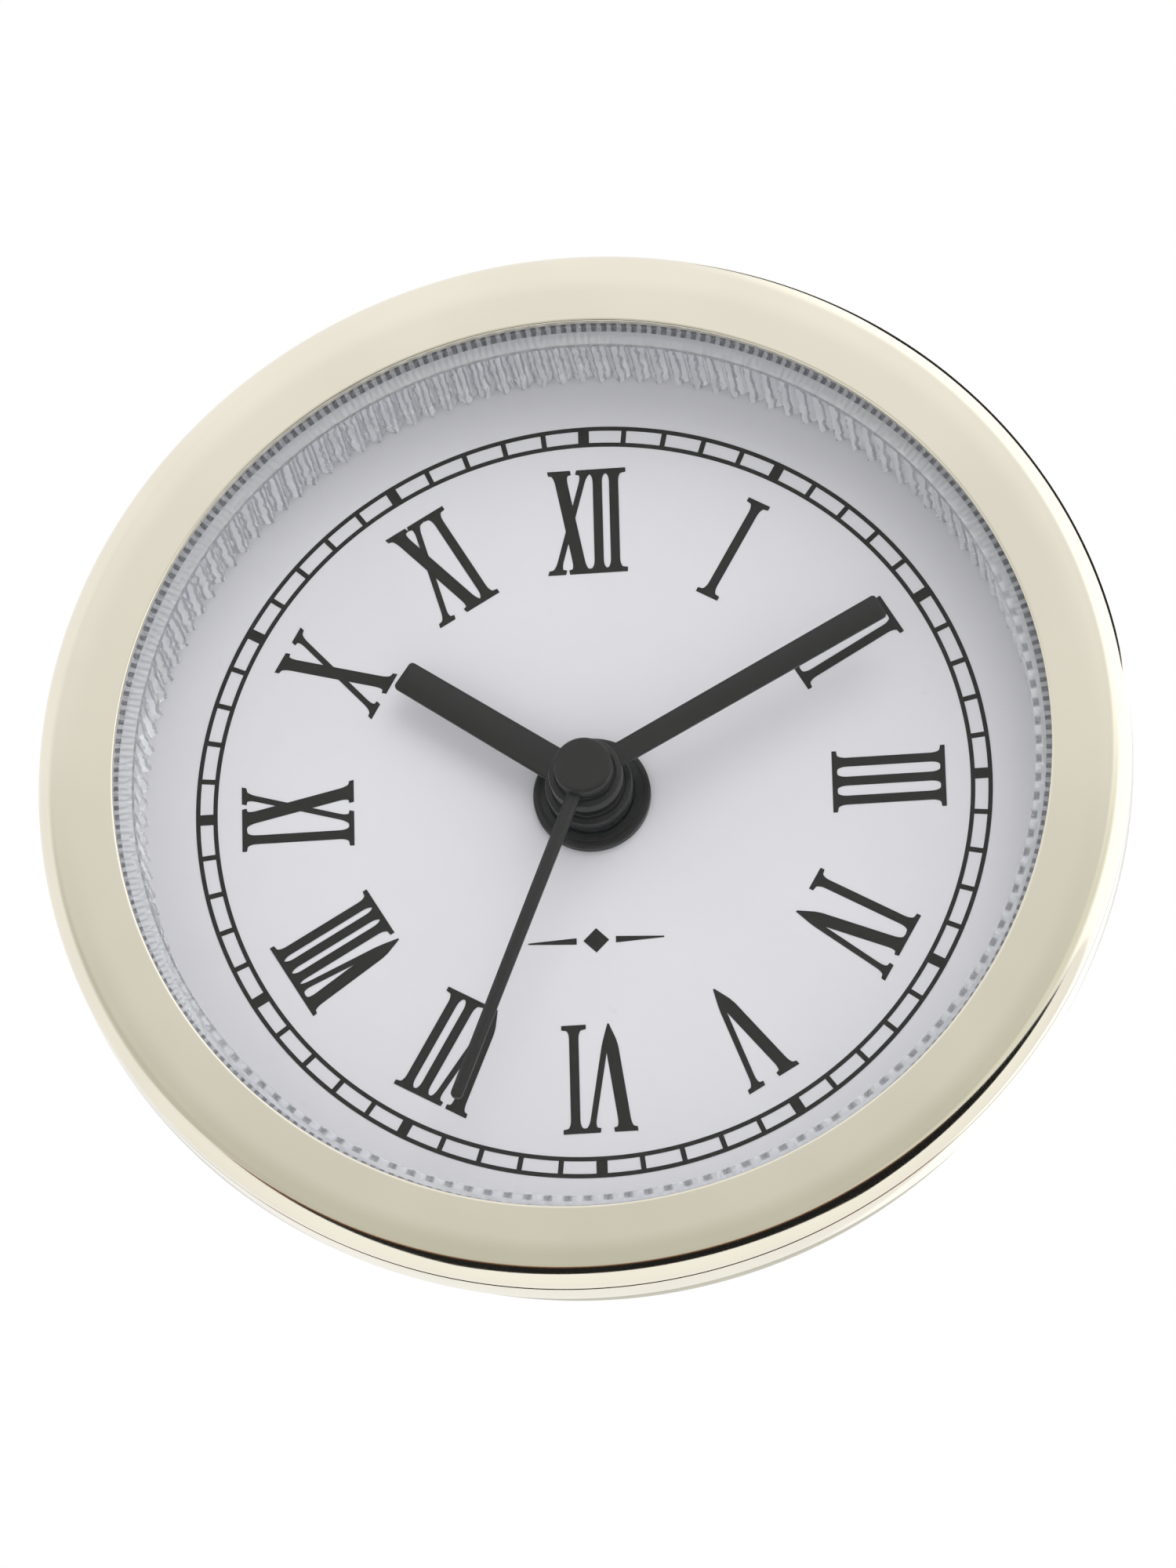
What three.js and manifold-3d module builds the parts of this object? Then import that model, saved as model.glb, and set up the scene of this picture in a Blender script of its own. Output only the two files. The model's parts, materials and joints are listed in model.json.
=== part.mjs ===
// Quartz clock insert: a metal bezel with a dial, three hands and a small battery movement behind it.
// Sizes are in millimetres. The clock stands upright: +X points to three o'clock, +Z to twelve, and
// the dial faces -Y. Y = 0 is the flat back of the bezel's flange, which rests on the panel.
import * as THREE from 'three';
import { mergeVertices } from 'three/addons/utils/BufferGeometryUtils.js';
import Module from 'manifold-3d';

const wasm = await Module();
wasm.setup();

// ---- Driving dimensions ----

// Bezel, from the outside inwards
const bezelRadius = 36;
const bezelDepth = 4;
const edgeRound = 1.5;
const seatWidth = 1.7;
const grooveDepth = 0.3;
const gasketThickness = 1.9;
const gasketLength = 6.2;
const skirtThickness = 0.55;
const lipThickness = 0.5;

// Window, the clear ring it sits on, and the dial
const windowThickness = 0.9;
const ringWall = 0.65;
const ledgeWidth = 1.3;
const lipOverlap = 0.1;
const dialThickness = 0.5;
const carrierThickness = 1.2;

// Hands: reach is set by the gap left between the tip and the clear ring
const hourTipGap = 14.7;
const minuteTipGap = 7.2;
const secondTipGap = 5.7;
const hourWidth = [2.35, 2.15];
const minuteWidth = [1.6, 1.75];
const secondWidth = [0.95, 0.8];
const handThickness = 0.3;
const secondThickness = 0.45;
const hourHeight = 2.4;
const hourToMinute = 2.1;
const minuteToSecond = 1.05;
const capRise = 0.55;
const capGap = 0.35;
const hourHubRadius = 2.9;
const minuteHubRadius = 2.45;
const secondHubRadius = 1.95;
const nutRadius = 3.9;
const nutThickness = 0.65;

// Shafts through the dial, from the inside outwards
const arborRadius = 0.45;
const pipeWall = 0.45;
const bushWall = 0.6;
const runningGap = 0.25;

// Case and movement
const caseDepth = 5.25;
const caseWall = 1.4;
const movementWidth = 38;
const movementWall = 1.2;
const movementCorner = 3;
const coverThickness = 1.2;
const cellRadius = 5.8;
const cellThickness = 5.4;
const cellFloorGap = 0.6;
const cellLidGap = 0.25;
const doorRim = 0.8;
const knobRadius = 4.5;
const knobHeight = 2.3;
const stemRadius = 0.9;
const rotorRadius = 2.2;
const rotorLength = 2;
const windingRadius = 2.3;
const windingLength = 12;

// Clearances
const clearance = 0.15;
const snug = 0.05;
const looseGap = 0.3;
const plateGap = 0.2;
const tipClearance = 0.06;

// Time on the hands: degrees clockwise from twelve
const hourAngle = 305.1;
const minuteAngle = 61.9;
const secondAngle = 201.9;

// Gears: teeth and the size of one tooth (pitch diameter divided by teeth)
const trainModule = 0.15;
const motionModule = 0.2;
const rotorTeeth = 12;
const stepTeeth = 60;
const stepPinionTeeth = 10;
const secondTeeth = 60;
const secondPinionTeeth = 8;
const thirdTeeth = 60;
const thirdPinionTeeth = 8;
const centreTeeth = 64;
const cannonTeeth = 12;
const reversingTeeth = 36;
const reversingPinionTeeth = 10;
const hourTeeth = 40;
const gearThickness = 0.45;

// Where the wheels stand: degrees clockwise from twelve, each from the wheel that it meshes with
const thirdDirection = -60;
const stepDirection = 125;
const rotorDirection = 160;

// ---- Sizes that follow ----

const roundSteps = 48;
const smallSteps = 20;

const seatInnerRadius = bezelRadius - seatWidth + clearance;
const gasketRadius = bezelRadius - seatWidth;
const skirtRadius = gasketRadius - gasketThickness - snug;
const boreRadius = skirtRadius - skirtThickness;
const ringRadius = boreRadius - clearance;
const windowRadius = ringRadius - ringWall;
const openingRadius = windowRadius - lipOverlap;
const ringInnerRadius = windowRadius - ledgeWidth;

const frontY = -bezelDepth;
const lipBackY = frontY + lipThickness;
const windowFrontY = lipBackY + snug;
const ledgeY = windowFrontY + windowThickness + snug;
const capTopY = windowFrontY + windowThickness + capGap;
const secondPlane = capTopY + capRise;
const minutePlane = secondPlane + minuteToSecond;
const hourPlane = minutePlane + hourToMinute;
const dialY = hourPlane + hourHeight;
const carrierY = dialY + dialThickness + snug;
const movementY = carrierY + carrierThickness + snug;
const caseBackY = movementY + caseDepth;
const skirtEndY = movementY - plateGap;
const caseInnerRadius = skirtRadius - caseWall;

const minuteBore = arborRadius + runningGap;
const minutePipeRadius = minuteBore + pipeWall;
const hourBore = minutePipeRadius + runningGap;
const hourPipeRadius = hourBore + pipeWall;
const bushBore = hourPipeRadius + runningGap;
const bushRadius = bushBore + bushWall;
const bushFrontY = dialY - nutThickness + 0.1;
const dialHoleRadius = bushRadius + runningGap;

const halfWidth = movementWidth / 2;
const innerHalf = halfWidth - movementWall;
const floorY = movementY + movementWall;
const wallEndY = floorY + cellFloorGap + cellThickness + cellLidGap;
const coverY = wallEndY + snug;
const coverBackY = coverY + coverThickness;

// Levels inside the movement, from the dial side to the back
const hourWheelY = floorY + 0.2;
const motionY = hourWheelY + gearThickness + 0.4;
const centreY = motionY + gearThickness + 0.45;
const bridgeY = centreY + gearThickness + 0.3;
const bridgeThickness = 0.6;
const thirdY = bridgeY + bridgeThickness + 0.25;
const secondY = thirdY + gearThickness + 0.2;
const stepY = secondY + gearThickness + 0.2;

// Levels of the motor: the coil is midway between the floor and the cover
const coreThickness = 0.6;
const statorThickness = 0.6;
const coilY = (floorY + wallEndY) / 2;
const coreY = coilY - coreThickness / 2;
const statorY = coreY - snug - statorThickness;
const rotorFrontY = statorY + (statorThickness - rotorLength) / 2;
const rotorBackY = rotorFrontY + rotorLength;

// ---- Solids ----

// Turns a three.js geometry into a manifold solid.
function solidOf(geometry) {
  const bare = geometry.clone();
  bare.deleteAttribute('normal');
  bare.deleteAttribute('uv');
  const merged = mergeVertices(bare, 1e-4);
  const vertProperties = new Float32Array(merged.attributes.position.array);
  const triVerts = new Uint32Array(merged.index.array);
  return new wasm.Manifold(new wasm.Mesh({ numProp: 3, vertProperties, triVerts }));
}

// Turns a manifold solid back into a geometry with flat faces.
function geometryOf(solid) {
  const mesh = solid.getMesh();
  const geometry = new THREE.BufferGeometry();
  geometry.setAttribute('position', new THREE.BufferAttribute(new Float32Array(mesh.vertProperties), 3));
  geometry.setIndex(new THREE.BufferAttribute(new Uint32Array(mesh.triVerts), 1));
  const flat = geometry.toNonIndexed();
  flat.computeVertexNormals();
  return flat;
}

const joined = (first, ...others) =>
  geometryOf(others.reduce((solid, other) => solid.add(solidOf(other)), solidOf(first)));

const cutBy = (body, ...tools) =>
  geometryOf(tools.reduce((solid, tool) => solid.subtract(solidOf(tool)), solidOf(body)));

// A body turned about the clock's own axis, from [radius, y] points that run counter-clockwise
// when radius points right and y points up.
function turned(points, steps = roundSteps) {
  const outline = points.map(([radius, y]) => new THREE.Vector2(radius, y));
  return new THREE.LatheGeometry(outline, steps);
}

// A ring or tube between two radii and two depths.
const ring = (inner, outer, front, back, steps = roundSteps) =>
  turned([[inner, front], [outer, front], [outer, back], [inner, back], [inner, front]], steps);

// A solid disc or rod between two depths, moved to [x, z].
function disc(radius, front, back, steps = smallSteps, [x, z] = [0, 0]) {
  const body = turned([[0, front], [radius, front], [radius, back], [0, back]], steps);
  return body.translate(x, 0, z);
}

// A flat plate between two depths, from a shape drawn in x and z.
function plate(shape, front, back, curveSegments = 6) {
  const options = { depth: back - front, bevelEnabled: false, curveSegments };
  return new THREE.ExtrudeGeometry(shape, options).rotateX(Math.PI / 2).translate(0, back, 0);
}

// A box between two corners.
function block([x0, y0, z0], [x1, y1, z1]) {
  const box = new THREE.BoxGeometry(x1 - x0, y1 - y0, z1 - z0);
  return box.translate((x0 + x1) / 2, (y0 + y1) / 2, (z0 + z1) / 2);
}

// A square outline with rounded corners about the clock's axis.
function roundedSquare(half, corner) {
  const shape = new THREE.Shape();
  const flat = half - corner;
  shape.absarc(flat, flat, corner, 0, Math.PI / 2);
  shape.absarc(-flat, flat, corner, Math.PI / 2, Math.PI);
  shape.absarc(-flat, -flat, corner, Math.PI, 1.5 * Math.PI);
  shape.absarc(flat, -flat, corner, 1.5 * Math.PI, 2 * Math.PI);
  return shape;
}

// The outline of a toothed wheel whose tips stop just short of the wheel it turns.
function toothOutline(teeth, tipRadius, toothDepth) {
  const shape = new THREE.Shape();
  for (let i = 0; i < 2 * teeth; i++) {
    const angle = (i * Math.PI) / teeth;
    const radius = i % 2 ? tipRadius - toothDepth : tipRadius;
    const point = [radius * Math.cos(angle), radius * Math.sin(angle)];
    if (i) shape.lineTo(...point);
    else shape.moveTo(...point);
  }
  shape.closePath();
  return shape;
}

// A round hole about the middle of a shape.
function roundHole(radius, steps = smallSteps) {
  const points = [];
  for (let i = 0; i < steps; i++) {
    const angle = (-2 * Math.PI * i) / steps;
    points.push(new THREE.Vector2(radius * Math.cos(angle), radius * Math.sin(angle)));
  }
  return new THREE.Path(points);
}

const pitchRadius = (teeth, size) => (teeth * size) / 2;

function wheel(teeth, size, front, holeRadius = 0) {
  const tipRadius = pitchRadius(teeth, size) - tipClearance;
  const shape = toothOutline(teeth, tipRadius, size);
  if (holeRadius) shape.holes.push(roundHole(holeRadius));
  return plate(shape, front, front + gearThickness);
}

// ---- The scene ----

const clock = new THREE.Group();

function add(name, geometry, color, roughness, metalness, parent = clock) {
  const material = new THREE.MeshStandardMaterial({ color, roughness, metalness });
  const mesh = new THREE.Mesh(geometry, material);
  mesh.name = name;
  parent.add(mesh);
  return mesh;
}

// A group that stands at [x, z] and may be turned clockwise as seen from the front.
function placed([x, z], degrees = 0) {
  const group = new THREE.Group();
  group.position.set(x, 0, z);
  group.rotation.y = THREE.MathUtils.degToRad(degrees);
  clock.add(group);
  return group;
}

const champagne = 0xe2dbc6;
const clearPlastic = 0xeef2f6;
const dialWhite = 0xdedee4;
const handBlack = 0x24221f;
const caseGrey = 0xc9c6bd;
const gasketGrey = 0xbfbab0;
const mouldedBlack = 0x1b1b1d;
const brass = 0xc9a24a;
const steel = 0xb9bcc0;
const gearWhite = 0xe8e6e0;
const copper = 0xb5673a;
const boardGreen = 0x1f5a3a;
const magnetGrey = 0x4a4a4e;
const bobbinTan = 0xd9d2b8;

// ---- Front: bezel, gasket, window, ring and dial ----

// The back of the flange is a flat seat outside a shallow groove, which the gasket stands in.
function bezelGeometry() {
  const points = [[openingRadius, frontY]];
  const roundSegments = 5;
  const centre = [bezelRadius - edgeRound, frontY + edgeRound];
  for (let i = 0; i <= roundSegments; i++) {
    const angle = (i * Math.PI) / 2 / roundSegments;
    points.push([centre[0] + edgeRound * Math.sin(angle), centre[1] - edgeRound * Math.cos(angle)]);
  }
  points.push([bezelRadius, 0], [seatInnerRadius, 0], [seatInnerRadius, -grooveDepth]);
  points.push([skirtRadius, -grooveDepth], [skirtRadius, skirtEndY], [boreRadius, skirtEndY]);
  points.push([boreRadius, lipBackY], [openingRadius, lipBackY], [openingRadius, frontY]);
  return turned(points);
}

// The gasket's outside carries a few soft fins that grip the hole in the panel.
function gasketGeometry() {
  const inner = skirtRadius + snug;
  const front = looseGap;
  const finCount = 3;
  const finDepth = 0.35;
  const pitch = gasketLength / finCount;
  const points = [[inner, front]];
  for (let i = 0; i < finCount; i++) {
    const start = front + i * pitch;
    points.push([gasketRadius - finDepth, start], [gasketRadius, start + pitch / 2]);
  }
  points.push([gasketRadius - finDepth, front + gasketLength], [inner, front + gasketLength], [inner, front]);
  return turned(points);
}

const ringProfile = [
  [ringInnerRadius, dialY - snug], [ringInnerRadius, ledgeY], [windowRadius + snug, ledgeY],
  [windowRadius + snug, windowFrontY], [ringRadius, windowFrontY], [ringRadius, dialY - snug],
  [ringInnerRadius, dialY - snug],
];

add('bezel', bezelGeometry(), champagne, 0.12, 1);
add('gasket', gasketGeometry(), gasketGrey, 0.6, 0);
const windowGeometry = disc(windowRadius, windowFrontY, windowFrontY + windowThickness, roundSteps);
add('window', windowGeometry, clearPlastic, 0.05, 0);
add('spacer_ring', turned(ringProfile), clearPlastic, 0.15, 0);
add('dial', ring(dialHoleRadius, ringRadius, dialY, dialY + dialThickness), dialWhite, 0.5, 0);
const nutBackY = dialY - snug;
const nutGeometry = ring(bushRadius + clearance, nutRadius, nutBackY - nutThickness, nutBackY, 36);
add('centre_nut', nutGeometry, handBlack, 0.4, 0.3);

// ---- Carrier and case ----

const caseScrewRadius = (halfWidth + caseInnerRadius) / 2;
const caseScrewPlaces = [0, 1, 2, 3].map((quarter) => {
  const angle = (quarter * Math.PI) / 2;
  return [caseScrewRadius * Math.sin(angle), caseScrewRadius * Math.cos(angle)];
});
const caseScrewShank = 0.8;
const caseScrewHead = 1.5;
const caseScrewHeadDepth = 0.7;
const bossRadius = 2;
const caseFloorY = caseBackY - caseWall;
const bossEndY = caseFloorY - snug;
const screwTipY = carrierY + carrierThickness + 0.6;

function carrierGeometry() {
  const bosses = caseScrewPlaces.map((at) => disc(bossRadius, carrierY + 0.4, bossEndY, smallSteps, at));
  const plateBody = ring(dialHoleRadius, ringRadius, carrierY, carrierY + carrierThickness);
  const body = joined(plateBody, ...bosses);
  const pilots = caseScrewPlaces.map((at) =>
    disc(caseScrewShank + clearance, screwTipY - looseGap, bossEndY + 1, 12, at));
  return cutBy(body, ...pilots);
}

function caseGeometry() {
  const cup = turned([
    [0, caseFloorY], [caseInnerRadius, caseFloorY], [caseInnerRadius, movementY],
    [skirtRadius, movementY], [skirtRadius, caseBackY], [0, caseBackY],
  ]);
  const outline = roundedSquare(halfWidth + looseGap, movementCorner + looseGap);
  const tools = [plate(outline, movementY - 1, caseBackY + 1)];
  for (const at of caseScrewPlaces) {
    tools.push(disc(caseScrewShank + looseGap, caseFloorY - 1, caseBackY + 1, smallSteps, at));
    tools.push(disc(caseScrewHead + looseGap, caseBackY - caseScrewHeadDepth, caseBackY + 1, smallSteps, at));
  }
  return cutBy(cup, ...tools);
}

// A screw whose head faces +Y, with a straight slot across it.
function screwGeometry(shank, head, headDepth, tipY, headY) {
  const slotWidth = 0.3 * head;
  const slotDepth = 0.5 * headDepth;
  const body = turned([
    [0, tipY], [shank, tipY + shank], [shank, headY - headDepth], [head, headY - headDepth],
    [head, headY], [0, headY],
  ], 12);
  const slot = block([-head - 1, headY - slotDepth, -slotWidth / 2], [head + 1, headY + 1, slotWidth / 2]);
  return cutBy(body, slot);
}

add('dial_carrier', carrierGeometry(), caseGrey, 0.6, 0);
add('case_cup', caseGeometry(), caseGrey, 0.55, 0);
caseScrewPlaces.forEach((at, i) => {
  const body = screwGeometry(caseScrewShank, caseScrewHead, caseScrewHeadDepth - snug, screwTipY, caseBackY);
  add(`case_screw_${i + 1}`, body, steel, 0.3, 1, placed(at, 35 * (i + 1)));
});

// ---- Movement housing ----

const cornerPlace = halfWidth - movementCorner - 0.1;
const corners = [[1, 1], [-1, 1], [-1, -1], [1, -1]];
const coverScrewPlaces = corners.map(([x, z]) => [x * cornerPlace, z * cornerPlace]);
const coverScrewShank = 0.55;
const coverScrewHead = 1.1;
const coverScrewHeadDepth = 0.5;
const coverScrewTipY = wallEndY - 3.5;
const postRadius = 1.3;

const cellInset = 2;
const cellPlace = [-innerHalf + cellRadius + cellInset, -innerHalf + cellRadius + cellInset];
const cellY = wallEndY - cellThickness - cellLidGap;
const doorRadius = cellRadius + doorRim;
const doorHoleRadius = cellRadius + 0.35;
const doorStepY = coverY + coverThickness / 2;

const motionDistance = pitchRadius(cannonTeeth + reversingTeeth, motionModule);
const reversingPlace = [0, motionDistance];
const knobPlace = [0, 2 * motionDistance];
const thirdDistance = pitchRadius(thirdTeeth + secondPinionTeeth, trainModule);
const around = (distance, degrees) => {
  const angle = THREE.MathUtils.degToRad(degrees);
  return [distance * Math.sin(angle), distance * Math.cos(angle)];
};
const thirdPlace = around(thirdDistance, thirdDirection);
const stepDistance = pitchRadius(stepPinionTeeth + secondTeeth, trainModule);
const stepPlace = around(stepDistance, stepDirection);
const rotorOffset = around(pitchRadius(rotorTeeth + stepTeeth, trainModule), rotorDirection);
const rotorPlace = [stepPlace[0] + rotorOffset[0], stepPlace[1] + rotorOffset[1]];
const hourModule = (2 * motionDistance) / (hourTeeth + reversingPinionTeeth);
const centreModule = (2 * thirdDistance) / (centreTeeth + thirdPinionTeeth);

function baseGeometry() {
  const outside = plate(roundedSquare(halfWidth, movementCorner), movementY, wallEndY);
  const pocket = plate(roundedSquare(innerHalf, movementCorner - movementWall), floorY, wallEndY + 1);
  const shell = cutBy(outside, pocket);
  const posts = coverScrewPlaces.map((at) => disc(postRadius, floorY - 0.4, wallEndY, 16, at));
  const bush = disc(bushRadius, bushFrontY, floorY - 0.4, smallSteps);
  const tools = coverScrewPlaces.map((at) =>
    disc(coverScrewShank + clearance, coverScrewTipY - looseGap, wallEndY + 1, 12, at));
  tools.push(disc(bushBore, bushFrontY - 1, floorY + 1, smallSteps));
  return cutBy(joined(shell, ...posts, bush), ...tools);
}

function coverGeometry() {
  const outside = plate(roundedSquare(halfWidth, movementCorner), coverY, coverBackY);
  const tools = coverScrewPlaces.flatMap((at) => [
    disc(coverScrewShank + looseGap, coverY - 1, coverBackY + 1, 12, at),
    disc(coverScrewHead + clearance, coverBackY - coverScrewHeadDepth, coverBackY + 1, 16, at),
  ]);
  tools.push(disc(stemRadius + looseGap, coverY - 1, coverBackY + 1, 16, knobPlace));
  tools.push(disc(knobRadius + 0.5, coverBackY - 0.4, coverBackY + 1, 36, knobPlace));
  tools.push(disc(doorHoleRadius, coverY - 1, coverBackY + 1, 36, cellPlace));
  tools.push(disc(doorRadius + clearance, doorStepY, coverBackY + 1, 36, cellPlace));
  return cutBy(outside, ...tools);
}

// The door is a stepped disc that presses into the cover, with a slot for a coin.
function doorGeometry() {
  const plugRadius = doorHoleRadius - clearance;
  const slotHalf = 0.65 * doorRadius;
  const body = turned([
    [0, coverY], [plugRadius, coverY], [plugRadius, doorStepY + snug],
    [doorRadius, doorStepY + snug], [doorRadius, coverBackY], [0, coverBackY],
  ], 36);
  return cutBy(body, block([-slotHalf, coverBackY - 0.5, -0.7], [slotHalf, coverBackY + 1, 0.7]));
}

add('movement_base', baseGeometry(), mouldedBlack, 0.5, 0);
add('movement_cover', coverGeometry(), mouldedBlack, 0.5, 0);
add('battery_door', doorGeometry(), mouldedBlack, 0.45, 0, placed(cellPlace, 45));
coverScrewPlaces.forEach((at, i) => {
  const headDepth = coverScrewHeadDepth - snug;
  const body = screwGeometry(coverScrewShank, coverScrewHead, headDepth, coverScrewTipY, coverBackY);
  add(`cover_screw_${i + 1}`, body, steel, 0.3, 1, placed(at, 50 * (i + 1)));
});

// ---- Setting knob ----

function knobGeometry() {
  const grip = toothOutline(24, knobRadius, 0.35);
  grip.holes.push(roundHole(stemRadius + clearance));
  return plate(grip, coverBackY + 0.1, coverBackY + 0.1 + knobHeight);
}

function stemGeometry() {
  const rod = disc(stemRadius, motionY + 0.1, coverBackY + knobHeight, 16);
  return joined(wheel(cannonTeeth, motionModule, motionY), rod);
}

const knob = placed(knobPlace);
add('set_knob', knobGeometry(), mouldedBlack, 0.4, 0, knob);
add('set_stem', stemGeometry(), gearWhite, 0.5, 0, knob);

// ---- Hands ----

// An arm from the hub to its tip, drawn along twelve o'clock, with the corners at the tip eased.
function armShape(start, end, [rootWidth, tipWidth], ease) {
  const shape = new THREE.Shape();
  shape.moveTo(-rootWidth / 2, start);
  shape.lineTo(rootWidth / 2, start);
  shape.lineTo(tipWidth / 2, end - ease);
  shape.quadraticCurveTo(tipWidth / 2, end, tipWidth / 2 - ease, end);
  shape.lineTo(-tipWidth / 2 + ease, end);
  shape.quadraticCurveTo(-tipWidth / 2, end, -tipWidth / 2, end - ease);
  shape.closePath();
  return shape;
}

function handGeometry(hubRadius, hubBore, hubFrontY, hubBackY, plane, thickness, tipGap, widths, ease) {
  const reach = ringInnerRadius - tipGap;
  const arm = plate(armShape(0, reach, widths, ease), plane, plane + thickness, 3);
  const hub = disc(hubRadius, hubFrontY, hubBackY, 36);
  return cutBy(joined(hub, arm), disc(hubBore, hubFrontY - 1, hubBackY + 1, smallSteps));
}

const hourHubBack = hourPlane + 0.9;
const minuteHubBack = minutePlane + 0.9;

function secondHandGeometry() {
  const reach = ringInnerRadius - secondTipGap;
  const arm = plate(armShape(0, reach, secondWidth, 0.35), secondPlane, secondPlane + secondThickness, 4);
  const cap = turned([
    [0, capTopY], [secondHubRadius - 0.2, capTopY], [secondHubRadius, capTopY + 0.2],
    [secondHubRadius, secondPlane + secondThickness], [0, secondPlane + secondThickness],
  ], 36);
  const socket = disc(arborRadius + pipeWall + clearance, secondPlane + 0.1, secondPlane + 2, smallSteps);
  return cutBy(joined(cap, arm), socket);
}

const ferruleBackY = secondPlane + secondThickness + 0.25;
const ferruleFrontY = secondPlane + 0.1 + snug;
const hourHub = [hourHubRadius, hourPipeRadius + snug, hourPlane - 0.15, hourHubBack];
const minuteHub = [minuteHubRadius, minutePipeRadius + snug, minutePlane - 0.15, minuteHubBack];

add('hour_hand', handGeometry(...hourHub, hourPlane, handThickness, hourTipGap, hourWidth, 0.25),
  handBlack, 0.45, 0.2, placed([0, 0], hourAngle));
add('minute_hand', handGeometry(...minuteHub, minutePlane, handThickness, minuteTipGap, minuteWidth, 0.25),
  handBlack, 0.45, 0.2, placed([0, 0], minuteAngle));
const secondGroup = placed([0, 0], secondAngle);
add('second_hand', secondHandGeometry(), handBlack, 0.4, 0.2, secondGroup);
const ferrule = ring(arborRadius + snug, arborRadius + pipeWall, ferruleFrontY, ferruleBackY, smallSteps);
add('second_ferrule', ferrule, brass, 0.3, 1, secondGroup);

// ---- Motion work: hour wheel, minute pipe and reversing wheel ----

function hourWheelGeometry() {
  const pipe = ring(hourBore, hourPipeRadius, hourPlane - 0.3, hourWheelY + gearThickness, smallSteps);
  return joined(wheel(hourTeeth, hourModule, hourWheelY, hourBore + 0.2), pipe);
}

function minutePipeGeometry() {
  const pipe = ring(minuteBore, minutePipeRadius, minutePlane - 0.3, motionY + gearThickness, smallSteps);
  return joined(pipe, ring(minuteBore, pitchRadius(cannonTeeth, motionModule) - tipClearance, motionY,
    motionY + gearThickness, smallSteps));
}

function reversingGeometry() {
  const pinion = wheel(reversingPinionTeeth, hourModule, hourWheelY);
  const body = disc(0.55, hourWheelY + 0.05, motionY + 0.1, 12);
  return joined(pinion, body, wheel(reversingTeeth, motionModule, motionY));
}

add('hour_wheel', hourWheelGeometry(), gearWhite, 0.5, 0);
add('minute_pipe', minutePipeGeometry(), brass, 0.35, 1);
add('reversing_wheel', reversingGeometry(), gearWhite, 0.5, 0, placed(reversingPlace));

// ---- Going train: rotor to step wheel, second wheel, third wheel and centre wheel ----

function thirdWheelGeometry() {
  const arbor = disc(0.35, centreY + 0.05, thirdY + gearThickness, 12);
  const pinion = wheel(thirdPinionTeeth, centreModule, centreY);
  return joined(pinion, arbor, wheel(thirdTeeth, trainModule, thirdY));
}

function secondWheelGeometry() {
  const arbor = disc(arborRadius, secondPlane + 0.25, secondY + gearThickness, smallSteps);
  const pinion = disc(pitchRadius(secondPinionTeeth, trainModule), thirdY, secondY + 0.1, smallSteps);
  return joined(arbor, pinion, wheel(secondTeeth, trainModule, secondY));
}

function stepWheelGeometry() {
  const pinion = wheel(stepPinionTeeth, trainModule, secondY);
  const arbor = disc(0.35, secondY + 0.05, stepY + gearThickness, 12);
  return joined(pinion, arbor, wheel(stepTeeth, trainModule, stepY));
}

const staffRadius = 0.35;

function staffGeometry() {
  const staff = disc(staffRadius, rotorFrontY - 0.4, stepY + gearThickness, 12);
  return joined(staff, wheel(rotorTeeth, trainModule, stepY));
}

// The spring that lets the minute pipe slip on the centre wheel while the hands are set.
const springY = motionY + gearThickness + 0.1;
const clutchSpring = ring(arborRadius + runningGap, 2, springY, springY + 0.2, smallSteps);

add('centre_wheel', wheel(centreTeeth, centreModule, centreY, arborRadius + runningGap), gearWhite, 0.5, 0);
add('clutch_spring', clutchSpring, steel, 0.3, 1);
add('third_wheel', thirdWheelGeometry(), gearWhite, 0.5, 0, placed(thirdPlace));
add('second_wheel', secondWheelGeometry(), gearWhite, 0.5, 0);
add('step_wheel', stepWheelGeometry(), gearWhite, 0.5, 0, placed(stepPlace));
const rotor = placed(rotorPlace);
const magnet = ring(staffRadius + snug, rotorRadius, rotorFrontY, rotorBackY, smallSteps);
add('rotor_magnet', magnet, magnetGrey, 0.5, 0.6, rotor);
add('rotor_staff', staffGeometry(), gearWhite, 0.5, 0, rotor);

// ---- Train bridge, a plate on the middle level ----

const bridgeReach = 4.8;
const bridgeDrop = 4.2;

function bridgeGeometry() {
  const low = Math.max(-bridgeDrop, cellPlace[1] + cellRadius + clearance);
  const body = block([-innerHalf + 3.2, bridgeY, low], [bridgeReach, bridgeY + bridgeThickness, 7.6]);
  return cutBy(
    body,
    disc(arborRadius + runningGap, bridgeY - 1, bridgeY + 2, 16),
    disc(0.35 + runningGap, bridgeY - 1, bridgeY + 2, 12, thirdPlace),
  );
}

add('train_bridge', bridgeGeometry(), mouldedBlack, 0.5, 0);

// ---- Motor: stator, core, bobbin and winding ----

const coilX = innerHalf - windingRadius - 0.9;
const coilTop = windingLength / 2 + 1;
const coilBottom = coilTop - windingLength;
const bobbinFlange = 0.5;
const coreWidth = 1.8;
const coreEnd = 2.2;

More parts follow.
